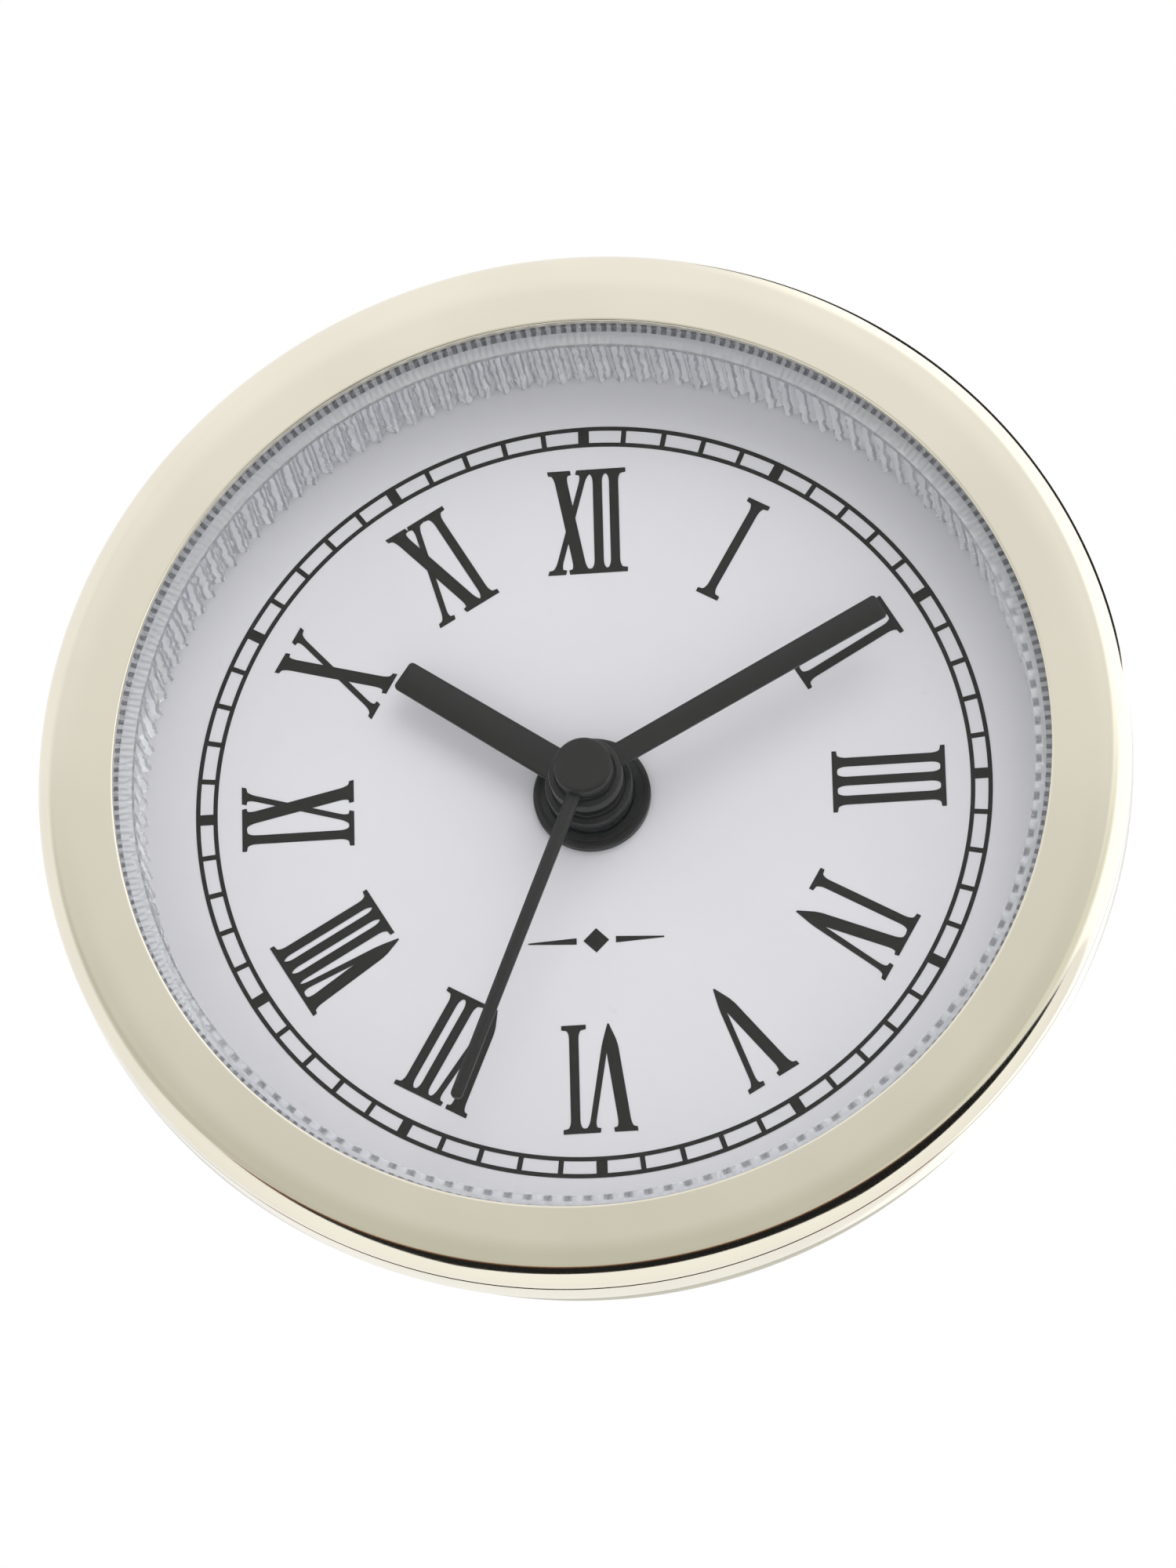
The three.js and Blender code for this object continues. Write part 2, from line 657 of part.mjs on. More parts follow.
function statorGeometry() {
  const [rx, rz] = rotorPlace;
  const ringBody = disc(rotorRadius + 1.4, statorY, statorY + statorThickness, smallSteps, rotorPlace);
  const armX = bridgeReach + 0.5 + coreWidth;
  const top = coilTop + bobbinFlange + coreEnd;
  const low = coilBottom - bobbinFlange - coreEnd;
  const upper = block([armX - coreWidth, statorY, rz], [armX, statorY + statorThickness, top]);
  const endX = coilX + coreWidth / 2;
  const statorBackY = statorY + statorThickness;
  const upperEnd = block([armX - coreWidth, statorY, top - coreWidth], [endX, statorBackY, top]);
  const lowerEnd = block([rx, statorY, low], [endX, statorBackY, low + coreWidth]);
  const body = joined(ringBody, upper, upperEnd, lowerEnd);
  return cutBy(body, disc(rotorRadius + looseGap, statorY - 1, statorY + 2, smallSteps, rotorPlace));
}

// A rod or tube along Z about [x, y], used by the coil.
function alongZ(radius, low, high, x, y, steps = smallSteps) {
  const rod = new THREE.CylinderGeometry(radius, radius, high - low, steps);
  return rod.rotateX(Math.PI / 2).translate(x, y, (low + high) / 2);
}

function bobbinGeometry() {
  const low = coilBottom - bobbinFlange;
  const high = coilTop + bobbinFlange;
  const spool = joined(
    alongZ(1.45, low, high, coilX, coilY),
    alongZ(windingRadius + 0.2, low, coilBottom, coilX, coilY),
    alongZ(windingRadius + 0.2, coilTop, high, coilX, coilY),
  );
  const slot = block([coilX - coreWidth / 2 - clearance, coreY - clearance, low - 1],
    [coilX + coreWidth / 2 + clearance, coreY + coreThickness + clearance, high + 1]);
  return cutBy(spool, slot);
}

function windingGeometry() {
  const copperBody = alongZ(windingRadius, coilBottom + snug, coilTop - snug, coilX, coilY);
  return cutBy(copperBody, alongZ(1.45 + snug, coilBottom - 1, coilTop + 1, coilX, coilY));
}

const coreBlock = block([coilX - coreWidth / 2, coreY, coilBottom - bobbinFlange - coreEnd],
  [coilX + coreWidth / 2, coreY + coreThickness, coilTop + bobbinFlange + coreEnd]);

add('stator', statorGeometry(), steel, 0.35, 1);
add('coil_core', coreBlock, steel, 0.35, 1);
add('coil_bobbin', bobbinGeometry(), bobbinTan, 0.6, 0);
add('coil_winding', windingGeometry(), copper, 0.35, 1);

// ---- Circuit board, chip, crystal, contacts and cell ----

const boardLow = 2 * motionDistance + pitchRadius(cannonTeeth, motionModule) + 0.8;
const boardHigh = innerHalf - 0.3;
const boardY = floorY + 1.6;
const boardThickness = 0.7;
const boardLeft = -innerHalf + 4;
const boardRight = coilX - windingRadius - 3;
const boardBack = boardY + boardThickness;
const boardMiddle = (boardLow + boardHigh) / 2;

const chipRadius = 1.7;
const chipHeight = 0.85;
const chipShape = turned([
  [0, boardBack + snug], [chipRadius, boardBack + snug],
  [chipRadius - 0.4, boardBack + chipHeight - 0.25], [0, boardBack + chipHeight],
], 16);
const crystalRadius = 0.85;
const crystalY = boardBack + crystalRadius + snug;
const crystal = new THREE.CylinderGeometry(crystalRadius, crystalRadius, 6, 16).rotateZ(Math.PI / 2);
const [cellX, cellZ] = cellPlace;
const negativeY = floorY + snug;
const positiveX = -innerHalf + snug;
const contactThickness = 0.25;

// The negative contact runs under the cell and up to the board; the positive one stands beside it.
const contactHalf = 1.5;
const leftX = cellX - contactHalf;
const rightX = cellX + contactHalf;
const riseZ = boardMiddle - 1;
const negativeShape = joined(
  block([leftX, negativeY, cellZ - 3], [rightX, negativeY + contactThickness, boardMiddle]),
  block([leftX, negativeY, riseZ], [rightX, boardY - snug, riseZ + contactThickness]),
);
const tabX = boardLeft - looseGap;
const positiveShape = joined(
  block([positiveX, cellY + 1, cellZ - 2], [positiveX + contactThickness, cellY + 4, boardMiddle]),
  block([positiveX, cellY + 1, boardMiddle - contactThickness], [tabX, cellY + 3, boardMiddle]),
);

const boardShape = block([boardLeft, boardY, boardLow], [boardRight, boardBack, boardHigh]);
add('circuit_board', boardShape, boardGreen, 0.5, 0);
add('chip', chipShape.translate(boardRight - 3, 0, boardMiddle), mouldedBlack, 0.4, 0);
add('quartz_crystal', crystal.translate(boardLeft + 6, crystalY, boardMiddle), steel, 0.25, 1);
add('negative_contact', negativeShape, steel, 0.3, 1);
add('positive_contact', positiveShape, steel, 0.3, 1);
add('button_cell', disc(cellRadius, cellY, cellY + cellThickness, 36, cellPlace), steel, 0.25, 1);

export default clock;
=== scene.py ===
import json
import math

import bpy
from mathutils import Matrix, Vector


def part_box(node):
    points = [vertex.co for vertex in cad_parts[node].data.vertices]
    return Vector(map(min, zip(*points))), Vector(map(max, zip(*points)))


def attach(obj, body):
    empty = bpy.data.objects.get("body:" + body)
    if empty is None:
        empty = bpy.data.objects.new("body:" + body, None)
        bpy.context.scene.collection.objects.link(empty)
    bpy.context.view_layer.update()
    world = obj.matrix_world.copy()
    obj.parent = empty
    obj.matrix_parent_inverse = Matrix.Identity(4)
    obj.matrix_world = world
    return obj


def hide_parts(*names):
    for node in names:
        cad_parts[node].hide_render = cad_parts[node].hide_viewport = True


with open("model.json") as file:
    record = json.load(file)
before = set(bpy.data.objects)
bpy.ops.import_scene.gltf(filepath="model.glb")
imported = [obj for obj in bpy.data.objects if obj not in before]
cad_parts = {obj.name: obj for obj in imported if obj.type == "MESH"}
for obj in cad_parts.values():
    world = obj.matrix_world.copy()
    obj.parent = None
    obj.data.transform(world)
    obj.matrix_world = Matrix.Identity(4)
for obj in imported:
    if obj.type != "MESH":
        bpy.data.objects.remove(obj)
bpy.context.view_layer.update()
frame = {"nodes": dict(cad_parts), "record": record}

mm = 0.001
weld = 0.0005 * mm
tiny = 0.01  # how near a surface, in millimetres, a vertex has to be to count as on it
axisY = (0, 1, 0)
perRadian = 180 / math.pi
print("frame loaded:", len(frame["nodes"]), "nodes")


# ---- selecting and finishing ----

def deselectAll():
    for thing in bpy.context.selected_objects:
        thing.select_set(False)


def only(piece):
    deselectAll()
    piece.select_set(True)
    bpy.context.view_layer.objects.active = piece


def pick(piece, kind, test):
    # leaves edit mode open with only the vertices, edges or faces that pass the test selected
    bpy.ops.object.mode_set(mode="EDIT")
    bpy.ops.mesh.select_mode(type=kind)
    bpy.ops.mesh.select_all(action="DESELECT")
    bpy.ops.object.mode_set(mode="OBJECT")
    mesh = piece.data
    for item in {"VERT": mesh.vertices, "EDGE": mesh.edges, "FACE": mesh.polygons}[kind]:
        item.select = bool(test(item))
    bpy.ops.object.mode_set(mode="EDIT")


def pickVerts(piece, test):
    pick(piece, "VERT", lambda vert: test(vert.co))


def pickEdges(piece, test):
    pick(piece, "EDGE", lambda edge: test(*(piece.data.vertices[i].co for i in edge.vertices)))


def pickFaces(piece, test):
    pick(piece, "FACE", lambda face: test(face.normal))


def alongY(a, b):
    return abs((a - b).normalized().y) > 0.9


def facesFront(normal):
    return normal.y < -0.9


def stepAt(co, steps):  # which of the steps round the clock's axis a vertex is at
    return round(math.atan2(co.z, co.x) * steps / math.tau)


def radiusAt(co):  # in millimetres
    return math.hypot(co.x, co.z) / mm


def spread(radius, change):
    # what is picked moves out from the axis, or in where the change is negative
    factor = (radius + change) / radius
    bpy.ops.transform.resize(value=(factor, 1, factor), center_override=(0, 0, 0))
    objectMode()


def objectMode():
    if bpy.context.object and bpy.context.object.mode != "OBJECT":
        bpy.ops.object.mode_set(mode="OBJECT")


def settle(piece):  # place, turn and size go into the mesh
    only(piece)
    bpy.ops.object.transform_apply(location=True, rotation=True, scale=True)
    return piece


def smooth(piece, degrees=32):
    only(piece)
    bpy.ops.object.shade_smooth_by_angle(angle=math.radians(degrees))
    return piece


def bevelled(piece, width, segments=3, degrees=35):
    only(piece)
    soften = piece.modifiers.new("soften", "BEVEL")
    soften.width = width
    soften.segments = segments
    soften.limit_method = "ANGLE"
    soften.angle_limit = math.radians(degrees)
    bpy.ops.object.modifier_apply(modifier=soften.name)
    return piece


def cutWith(piece, cutters):
    for cutter in cutters:
        only(piece)
        cut = piece.modifiers.new("cut", "BOOLEAN")
        cut.operation = "DIFFERENCE"
        cut.object = cutter
        bpy.ops.object.modifier_apply(modifier=cut.name)
        bpy.data.objects.remove(cutter)
    return piece


def joinAll(pieces, name):
    deselectAll()
    for piece in pieces:
        piece.select_set(True)
    bpy.context.view_layer.objects.active = pieces[0]
    if len(pieces) > 1:
        bpy.ops.object.join()
    pieces[0].name = name
    return pieces[0]


def placed(piece, at=(0, 0), turn=0.0):
    # moved to (x, z) in millimetres, and turned by degrees the way the hands go
    piece.rotation_euler = (0, math.radians(turn), 0)
    piece.location = (at[0] * mm, 0, at[1] * mm)
    return settle(piece)


def copied(piece, name, at=(0, 0), turn=0.0):
    twin = piece.copy()
    twin.data = piece.data.copy()
    twin.name = name
    bpy.context.scene.collection.objects.link(twin)
    return placed(twin, at, turn)


# ---- basic shaping ----

def drawn(name, points):
    # one edge through points in metres, left in edit mode with all of it selected
    deselectAll()
    bpy.ops.mesh.primitive_plane_add(size=mm)
    piece = bpy.context.object
    piece.name = name
    bpy.ops.object.mode_set(mode="EDIT")
    bpy.ops.mesh.select_mode(type="VERT")
    bpy.ops.mesh.select_all(action="SELECT")
    bpy.ops.mesh.merge(type="CENTER")
    bpy.ops.transform.translate(value=points[0])
    for last, point in zip(points, points[1:]):
        step = [b - a for a, b in zip(last, point)]
        bpy.ops.mesh.extrude_region_move(TRANSFORM_OT_translate={"value": step})
    bpy.ops.mesh.select_all(action="SELECT")
    return piece


def lathe(name, outline, steps=192, closed=True):
    # the outline's points are (radius, y) in millimetres, spun about the clock's axis
    points = [(radius * mm, y * mm, 0) for radius, y in outline]
    piece = drawn(name, points + points[:1] if closed else points)
    bpy.ops.mesh.remove_doubles(threshold=weld)
    bpy.ops.mesh.select_all(action="SELECT")
    bpy.ops.mesh.spin(steps=steps, angle=math.tau, center=(0, 0, 0), axis=axisY)
    bpy.ops.mesh.select_all(action="SELECT")
    bpy.ops.mesh.remove_doubles(threshold=weld)
    bpy.ops.mesh.normals_make_consistent(inside=False)
    bpy.ops.object.mode_set(mode="OBJECT")
    return piece


def slab(name, low, high, cornerRadius=0.0, segments=6):
    # a block from its lowest to its highest corner, in millimetres; edges along Y can be rounded
    deselectAll()
    size = [(b - a) * mm for a, b in zip(low, high)]
    centre = [(a + b) / 2 * mm for a, b in zip(low, high)]
    bpy.ops.mesh.primitive_cube_add(size=1, location=centre, scale=size)
    piece = settle(bpy.context.object)
    piece.name = name
    if cornerRadius:
        pickEdges(piece, alongY)
        bpy.ops.mesh.bevel(offset=cornerRadius * mm, segments=segments)
        objectMode()
    return piece


def rod(at, radius, low, high, sides=32):
    # a round bar along Y at (x, z), in millimetres
    deselectAll()
    bpy.ops.mesh.primitive_cylinder_add(vertices=sides, radius=radius * mm, depth=(high - low) * mm,
                                        location=(at[0] * mm, (low + high) / 2 * mm, at[1] * mm),
                                        rotation=(math.pi / 2, 0, 0))
    return settle(bpy.context.object)


def arc(centre, radius, start, end, count):
    # points on an arc, angles in degrees from +radius towards +y
    turns = [math.radians(start + (end - start) * i / count) for i in range(count + 1)]
    return [(centre[0] + radius * math.cos(t), centre[1] + radius * math.sin(t)) for t in turns]


def inFrom(radius, y, steps):
    # points given by how far in from a radius and how far along from y they lie
    return [(radius - inward, y + along) for inward, along in steps]


# ---- shader maths ----

class Wire:  # a socket that can be added, multiplied and so on
    def __init__(self, sheet, socket):
        self.sheet = sheet
        self.socket = socket

    def __add__(self, other):
        return self.sheet.maths("ADD", self, other)

    def __radd__(self, other):
        return self.sheet.maths("ADD", other, self)

    def __sub__(self, other):
        return self.sheet.maths("SUBTRACT", self, other)

    def __rsub__(self, other):
        return self.sheet.maths("SUBTRACT", other, self)

    def __mul__(self, other):
        return self.sheet.maths("MULTIPLY", self, other)

    def __rmul__(self, other):
        return self.sheet.maths("MULTIPLY", other, self)

    def __truediv__(self, other):
        return self.sheet.maths("DIVIDE", self, other)

    def __rtruediv__(self, other):
        return self.sheet.maths("DIVIDE", other, self)

    def band(self, low, high):  # 0 below low, 1 above high, eased between
        return self.sheet.node("ShaderNodeMapRange", {"interpolation_type": "SMOOTHSTEP"},
                               {"Value": self, "From Min": low, "From Max": high})


class Sheet:  # the nodes of one material or of the world
    def __init__(self, tree):
        self.tree = tree
        tree.nodes.clear()

    def node(self, kind, settings=None, sockets=None, out=0):
        made = self.tree.nodes.new(kind)
        for name, value in (settings or {}).items():
            setattr(made, name, value)
        for name, value in (sockets or {}).items():
            if isinstance(value, Wire):
                self.tree.links.new(value.socket, made.inputs[name])
            else:
                made.inputs[name].default_value = value
        return Wire(self, made.outputs[out]) if made.outputs else None

    def maths(self, operation, *values):
        return self.node("ShaderNodeMath", {"operation": operation}, dict(enumerate(values)))

    def place(self, kind="Object"):
        return self.node("ShaderNodeTexCoord", out=kind)

    def parts(self, kind="Object"):
        split = self.node("ShaderNodeSeparateXYZ", sockets={"Vector": self.place(kind)})
        return [Wire(self, socket) for socket in split.socket.node.outputs]

    def radius(self):  # distance from the clock's axis
        x, y, z = self.parts()
        return self.maths("SQRT", x * x + z * z)

    def noise(self, scale, detail=3, vector=None):
        return self.node("ShaderNodeTexNoise", sockets={
            "Vector": vector or self.place(), "Scale": scale, "Detail": detail})

    def rings(self, scale, detail):  # fine turning marks about the clock's axis
        return self.noise(scale, detail, self.node("ShaderNodeCombineXYZ", sockets={0: self.radius()}))

    def mix(self, factor, first, second):
        return self.node("ShaderNodeMix", {"data_type": "RGBA"}, {0: factor, 6: first, 7: second}, out=2)

    def bump(self, height, strength, distance):
        return self.node("ShaderNodeBump", sockets={
            "Height": height, "Strength": strength, "Distance": distance})


finishes = {}


def finish(name, constants, build):
    made = bpy.data.materials.new(name)
    made.use_nodes = True
    sheet = Sheet(made.node_tree)
    shader = sheet.node("ShaderNodeBsdfPrincipled")
    inputs = shader.socket.node.inputs
    for socket, value in constants.items():
        inputs[socket].default_value = value
    for socket, value in build(sheet).items():
        made.node_tree.links.new(value.socket, inputs[socket])
    sheet.node("ShaderNodeOutputMaterial", sockets={"Surface": shader})
    finishes[name] = made
    return made


def rgb(colour):
    return (*colour, 1)


def shade(colour, factor):
    return rgb([min(1, part * factor) for part in colour])


# ---- finishes ----

def bezelNodes(sheet):
    fine = sheet.noise(2600, 2)
    broad = sheet.noise(90, 2)
    gold = (0.83, 0.785, 0.67)
    tone = sheet.mix(broad.band(0.3, 0.7), shade(gold, 0.97), shade(gold, 1.02))
    hairline = sheet.rings(14000, 2)
    return {
        "Base Color": tone,
        "Roughness": 0.07 + fine * 0.05 + hairline * 0.03,
        "Normal": sheet.bump(broad * 0.6 + hairline * 0.05, 0.06, 0.00004),
    }


finish("bezelMetal", {"Metallic": 1.0}, bezelNodes)


def gasketNodes(sheet):
    soft = sheet.noise(140, 4)
    dust = sheet.noise(3800, 2)
    milk = (0.50, 0.48, 0.395)
    tone = sheet.mix(soft.band(0.35, 0.68), shade(milk, 0.95), shade(milk, 1.04))
    return {
        "Base Color": tone,
        "Roughness": 0.42 + dust * 0.2,
        "Normal": sheet.bump(dust + soft, 0.25, 0.00006),
    }


finish("gasketRubber", {"Specular IOR Level": 0.45, "Sheen Weight": 0.1}, gasketNodes)


def glassNodes(sheet):
    haze = sheet.noise(70, 3)
    return {"Alpha": 0.02 + haze * 0.02, "Roughness": 0.02 + haze * 0.03}


finish("windowGlass", {"Base Color": (0.10, 0.12, 0.13, 1), "IOR": 1.5}, glassNodes)


# the flute count, and the painted refraction and painted shade on the clear ring: counts round it, places in
# millimetres, tones and strengths
fluteCountAndPaintedLight = {
    "flutes": 144, "paintedTicksEach": 2, "paintedStreaksEach": 3, "wander": 6, "ledge": (2.2, 2.4),
    "paintedBeadArea": (-4, 12), "paintedBeadShift": 0.28, "rim": (30.70, 30.76), "inner": (29.80, 29.88),
    "rowStart": (29.72, 29.84), "rowEnd": (30.10, 30.22), "plain": (0.93, 0.945, 0.99),
    # streak and bead are colours of painted refraction; line and tick are colours of painted shade
    "bright": (0.97, 0.98, 1.0), "paintedStreak": (0.22, 0.22, 0.25), "line": (0.30, 0.31, 0.34),
    "paintedBead": (0.22, 0.22, 0.24), "tick": (0.10, 0.10, 0.11), "paintedStreakStrength": 0.7,
    "paintedLineStrength": 0.7, "paintedBeadStrength": 0.75, "paintedTickStrength": 0.55, "paintedShadeUnderLip": 0.3,
}


def clearNodes(sheet):
    marks = fluteCountAndPaintedLight

    def past(value, name):  # eased from 0 to 1 across a named pair of places
        low, high = marks[name]
        return value.band(low * mm, high * mm)

    flow = sheet.noise(120, 3)
    ripple = sheet.noise(900, 2)
    x, y, z = sheet.parts()
    reach = sheet.radius()
    around = sheet.maths("ARCTAN2", x, z)
    flutes = marks["flutes"]
    # painted shade and refraction: a dark band under the lip, striped with the lip's teeth as seen through
    # the ring
    paintedTicks = sheet.maths("SINE", around * (flutes * marks["paintedTicksEach"]))
    paintedBeads = sheet.maths("SINE", around * flutes)
    # painted refraction: dark and light streaks on the fluted wall stand in for the glints in the clear
    # plastic
    paintedStreaks = sheet.maths("SINE", around * (flutes * marks["paintedStreaksEach"]) + ripple * marks["wander"])
    ledge = past(0 - y, "ledge")
    # painted refraction: the flutes seen through the ledge are painted as a row of beads low down and on the
    # right
    paintedBeadSide = past(x * 0.5 - z, "paintedBeadArea")
    row = past(reach, "rowStart") * (1 - past(reach, "rowEnd"))
    rim = past(reach + paintedBeadSide * (marks["paintedBeadShift"] * mm), "rim")
    inner = 1 - past(reach, "inner")
    # painted light mixed over the ring's tone: streaks and beads are painted refraction, the edge line and
    # the band under the lip are painted shade
    paintedLight = {
        "paintedStreak": (1 - ledge) * paintedStreaks.band(0.2, 0.7) * marks["paintedStreakStrength"],
        # painted shade: a dark line along the ledge's inner edge
        "line": ledge * inner * (1 - paintedBeadSide) * marks["paintedLineStrength"],
        "paintedBead": ledge * row * paintedBeadSide * paintedBeads.band(-0.4, 0.7) * marks["paintedBeadStrength"],
        "tick": ledge * rim * (marks["paintedShadeUnderLip"] + paintedTicks.band(-0.4, 0.3) * marks["paintedTickStrength"]),
    }
    tone = sheet.mix(flow.band(0.3, 0.7), rgb(marks["plain"]), rgb(marks["bright"]))
    for mark, share in paintedLight.items():
        tone = sheet.mix(share, tone, rgb(marks[mark]))
    return {
        "Base Color": tone,
        # the painted tone, with its painted refraction and shade, also glows
        "Emission Color": tone,
        "Roughness": 0.05 + ripple * 0.08,
        "Normal": sheet.bump(ripple, 0.15, 0.00003),
    }


# painted glow: the clear moulding gives off a little light in its own painted colour, though it is no lamp
finish("clearPlastic", {"IOR": 1.49, "Transmission Weight": 0.7, "Emission Strength": 0.04}, clearNodes)


def dialNodes(sheet):
    cloud = sheet.noise(60, 3)
    grain = sheet.noise(5200, 2)
    white = (0.735, 0.733, 0.785)
    tone = sheet.mix(cloud.band(0.3, 0.7), shade(white, 0.985), shade(white, 1.01))
    speck = sheet.noise(900, 1).band(0.78, 0.82)
    return {
        "Base Color": sheet.mix(speck * 0.25, tone, shade(white, 0.8)),
        "Roughness": 0.42 + grain * 0.12,
        "Normal": sheet.bump(grain, 0.12, 0.00001),
    }


finish("dialWhite", {"Specular IOR Level": 0.3}, dialNodes)


def inkNodes(sheet):
    grain = sheet.noise(6400, 3)
    thin = sheet.noise(1500, 2).band(0.66, 0.74)
    ink = (0.022, 0.021, 0.019)
    return {
        "Base Color": sheet.mix(thin * 0.35, rgb(ink), shade(ink, 2.2)),
        "Roughness": 0.4 + grain * 0.25,
        "Normal": sheet.bump(grain, 0.2, 0.00001),
    }


finish("printBlack", {"Specular IOR Level": 0.25}, inkNodes)


def lacquerNodes(sheet):
    orange = sheet.noise(1600, 3)
    rub = sheet.noise(420, 4).band(0.6, 0.8)
    black = (0.013, 0.012, 0.011)
    return {
        "Base Color": sheet.mix(rub * 0.3, rgb(black), shade(black, 1.9)),
        "Roughness": 0.34 + orange * 0.2 + rub * 0.08,
        "Normal": sheet.bump(orange, 0.12, 0.00002),
    }


finish("handBlack", {"Specular IOR Level": 0.35, "Coat Roughness": 0.15, "Coat Weight": 0.12}, lacquerNodes)


def moulded(name, colour, roughness, grainScale=3400, depth=0.00003, lighter=1.12):
    def nodes(sheet):
        spark = sheet.noise(grainScale, 3)
        flow = sheet.noise(70, 3)
        rub = sheet.noise(260, 5).band(0.62, 0.78)
        tone = sheet.mix(flow.band(0.3, 0.7), shade(colour, 0.93), shade(colour, 1.05))
        return {
            "Base Color": sheet.mix(rub * 0.4, tone, shade(colour, lighter)),
            "Roughness": roughness - 0.06 + spark * 0.14 - rub * 0.08,
            "Normal": sheet.bump(spark, 0.35, depth),
        }
    return finish(name, {"Specular IOR Level": 0.45}, nodes)


moulded("casePlastic", (0.55, 0.535, 0.49), 0.5)
moulded("blackPlastic", (0.024, 0.024, 0.026), 0.48, 3000, 0.00004, 1.8)
moulded("gearPlastic", (0.72, 0.71, 0.66), 0.38, 5000, 0.00001)
moulded("chipResin", (0.018, 0.018, 0.019), 0.25, 1800, 0.00005, 1.6)
moulded("magnetBlack", (0.09, 0.09, 0.10), 0.55, 6500, 0.00003, 1.5)


def turnedMetal(name, colour, roughness, ringScale=9000):
    def nodes(sheet):
        ring = sheet.rings(ringScale, 3)
        stain = sheet.noise(300, 4).band(0.5, 0.8)
        return {
            "Base Color": sheet.mix(stain * 0.5, rgb(colour), shade(colour, 0.8)),
            "Roughness": roughness + ring * 0.12 + stain * 0.1,
            "Normal": sheet.bump(ring, 0.2, 0.00002),
        }
    return finish(name, {"Metallic": 1.0}, nodes)


turnedMetal("brass", (0.76, 0.56, 0.26), 0.22)
turnedMetal("steel", (0.58, 0.59, 0.61), 0.2)
turnedMetal("cellSteel", (0.66, 0.67, 0.68), 0.14, 5000)


wirePitch = 0.09  # from one turn of the winding to the next, in millimetres


def wireNodes(sheet):
    height = sheet.parts()[2]
    turns = sheet.maths("SINE", height * (math.tau / (wirePitch * mm)))
    fray = sheet.noise(1400, 3)
    copper = (0.66, 0.27, 0.11)
    return {
        # painted shade: the base colour darkens in the grooves between the winding's turns
        "Base Color": sheet.mix(turns * 0.5 + 0.5, shade(copper, 0.45), rgb(copper)),
        "Roughness": 0.25 + fray * 0.2,
        "Normal": sheet.bump(turns * 0.5 + fray * 0.4, 0.5, 0.00004),
    }


finish("copperWire", {"Metallic": 0.9}, wireNodes)


def boardNodes(sheet):
    x, y, z = sheet.parts()
    lane = sheet.maths("SINE", (x + z * 0.35) * 4200)
    lanes = lane.band(0.35, 0.6) * sheet.noise(260, 1).band(0.45, 0.55)
    green = (0.02, 0.16, 0.075)
    return {
        "Base Color": sheet.mix(lanes, rgb(green), shade(green, 1.9)),
        "Roughness": 0.28 + sheet.noise(2400, 2) * 0.14,
        "Normal": sheet.bump(lanes, 0.6, 0.00003),
    }


finish("boardGreen", {"Specular IOR Level": 0.5}, boardNodes)

slotFinish = {
    "bezel_metal": "bezelMetal", "gasket_rubber": "gasketRubber", "window_glass": "windowGlass",
    "clear_plastic": "clearPlastic", "dial_white": "dialWhite", "print_black": "printBlack",
    "hand_black": "handBlack", "case_plastic": "casePlastic", "black_plastic": "blackPlastic",
    "gear_plastic": "gearPlastic", "brass": "brass", "steel": "steel", "cell_steel": "cellSteel",
    "magnet": "magnetBlack", "copper_wire": "copperWire", "board_green": "boardGreen",
    "chip_resin": "chipResin",
}

# every CAD node starts with the finish of its own slot
for part in frame["record"]["subparts"]:
    node = frame["nodes"].get(part["node"])
    if node:
        if not node.material_slots:
            node.data.materials.append(None)
        for place in node.material_slots:
            place.material = finishes[slotFinish[part["material_slot"]]]
print("finishes made:", len(finishes))


def complete(piece, slot, body, *nodes, degrees=32):
    # finish, smooth shading, the body it rides on and the CAD nodes it stands for
    objectMode()
    settle(piece)
    smooth(piece, degrees)
    piece.data.materials.clear()
    piece.data.materials.append(finishes[slotFinish[slot]])
    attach(piece, body)
    if nodes:
        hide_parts(*nodes)
    return piece


def span(node):  # lowest and highest corner of a CAD node, in millimetres
    low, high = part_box(node)
    return low / mm, high / mm


# ---- bezel, gasket and window ----

bezel = {"lip": 0.5, "opening": 30.9, "innerRound": 0.12, "edgeRound": 1.25, "backRound": 0.25,
         "faceStart": 0.08, "crown": 1.6, "crownFall": 0.06, "seamAt": -2.25, "seamWidth": 0.24,
         "seamDepth": 0.2, "seat": 34.45, "groove": 0.3, "skirt": 32.35, "skirtEase": 0.1, "bore": 31.8}


def makeBezel():
    low, high = span("bezel")
    rim, front, end = high.x, low.y, high.y
    opening, lipRound, lipBack = bezel["opening"], bezel["innerRound"], front + bezel["lip"]
    points = [(opening, lipBack)]
    points += arc((opening + lipRound, front + lipRound), lipRound, 180, 270, 4)
    # the face is flat, then falls away a little before the rounded edge
    edge, crown, fall = bezel["edgeRound"], bezel["crown"], bezel["crownFall"]
    points += [(opening + lipRound + bezel["faceStart"], front), (rim - edge - crown, front)]
    points += [(rim - edge - crown * (1 - part), front + fall * part ** 2) for part in (0.25, 0.5, 0.75)]
    points += arc((rim - edge, front + fall + edge), edge, 270, 360, 20)
    # the seam where the polished front meets its backing ring
    seam, half, floor = bezel["seamAt"], bezel["seamWidth"] / 2, rim - bezel["seamDepth"]
    points += [(rim, seam - half), (floor, seam - half / 2), (floor, seam + half / 2), (rim, seam + half)]
    points += arc((rim - bezel["backRound"], -bezel["backRound"]), bezel["backRound"], 0, 90, 4)
    seat, skirt, ease = bezel["seat"], bezel["skirt"], bezel["skirtEase"]
    points += [(seat, 0), (seat, -bezel["groove"]), (skirt, -bezel["groove"]), (skirt, end - ease),
               (skirt - ease, end), (bezel["bore"], end), (bezel["bore"], lipBack)]
    return complete(lathe("bezel_ring", points, 288), "bezel_metal", "housing", "bezel", degrees=30)


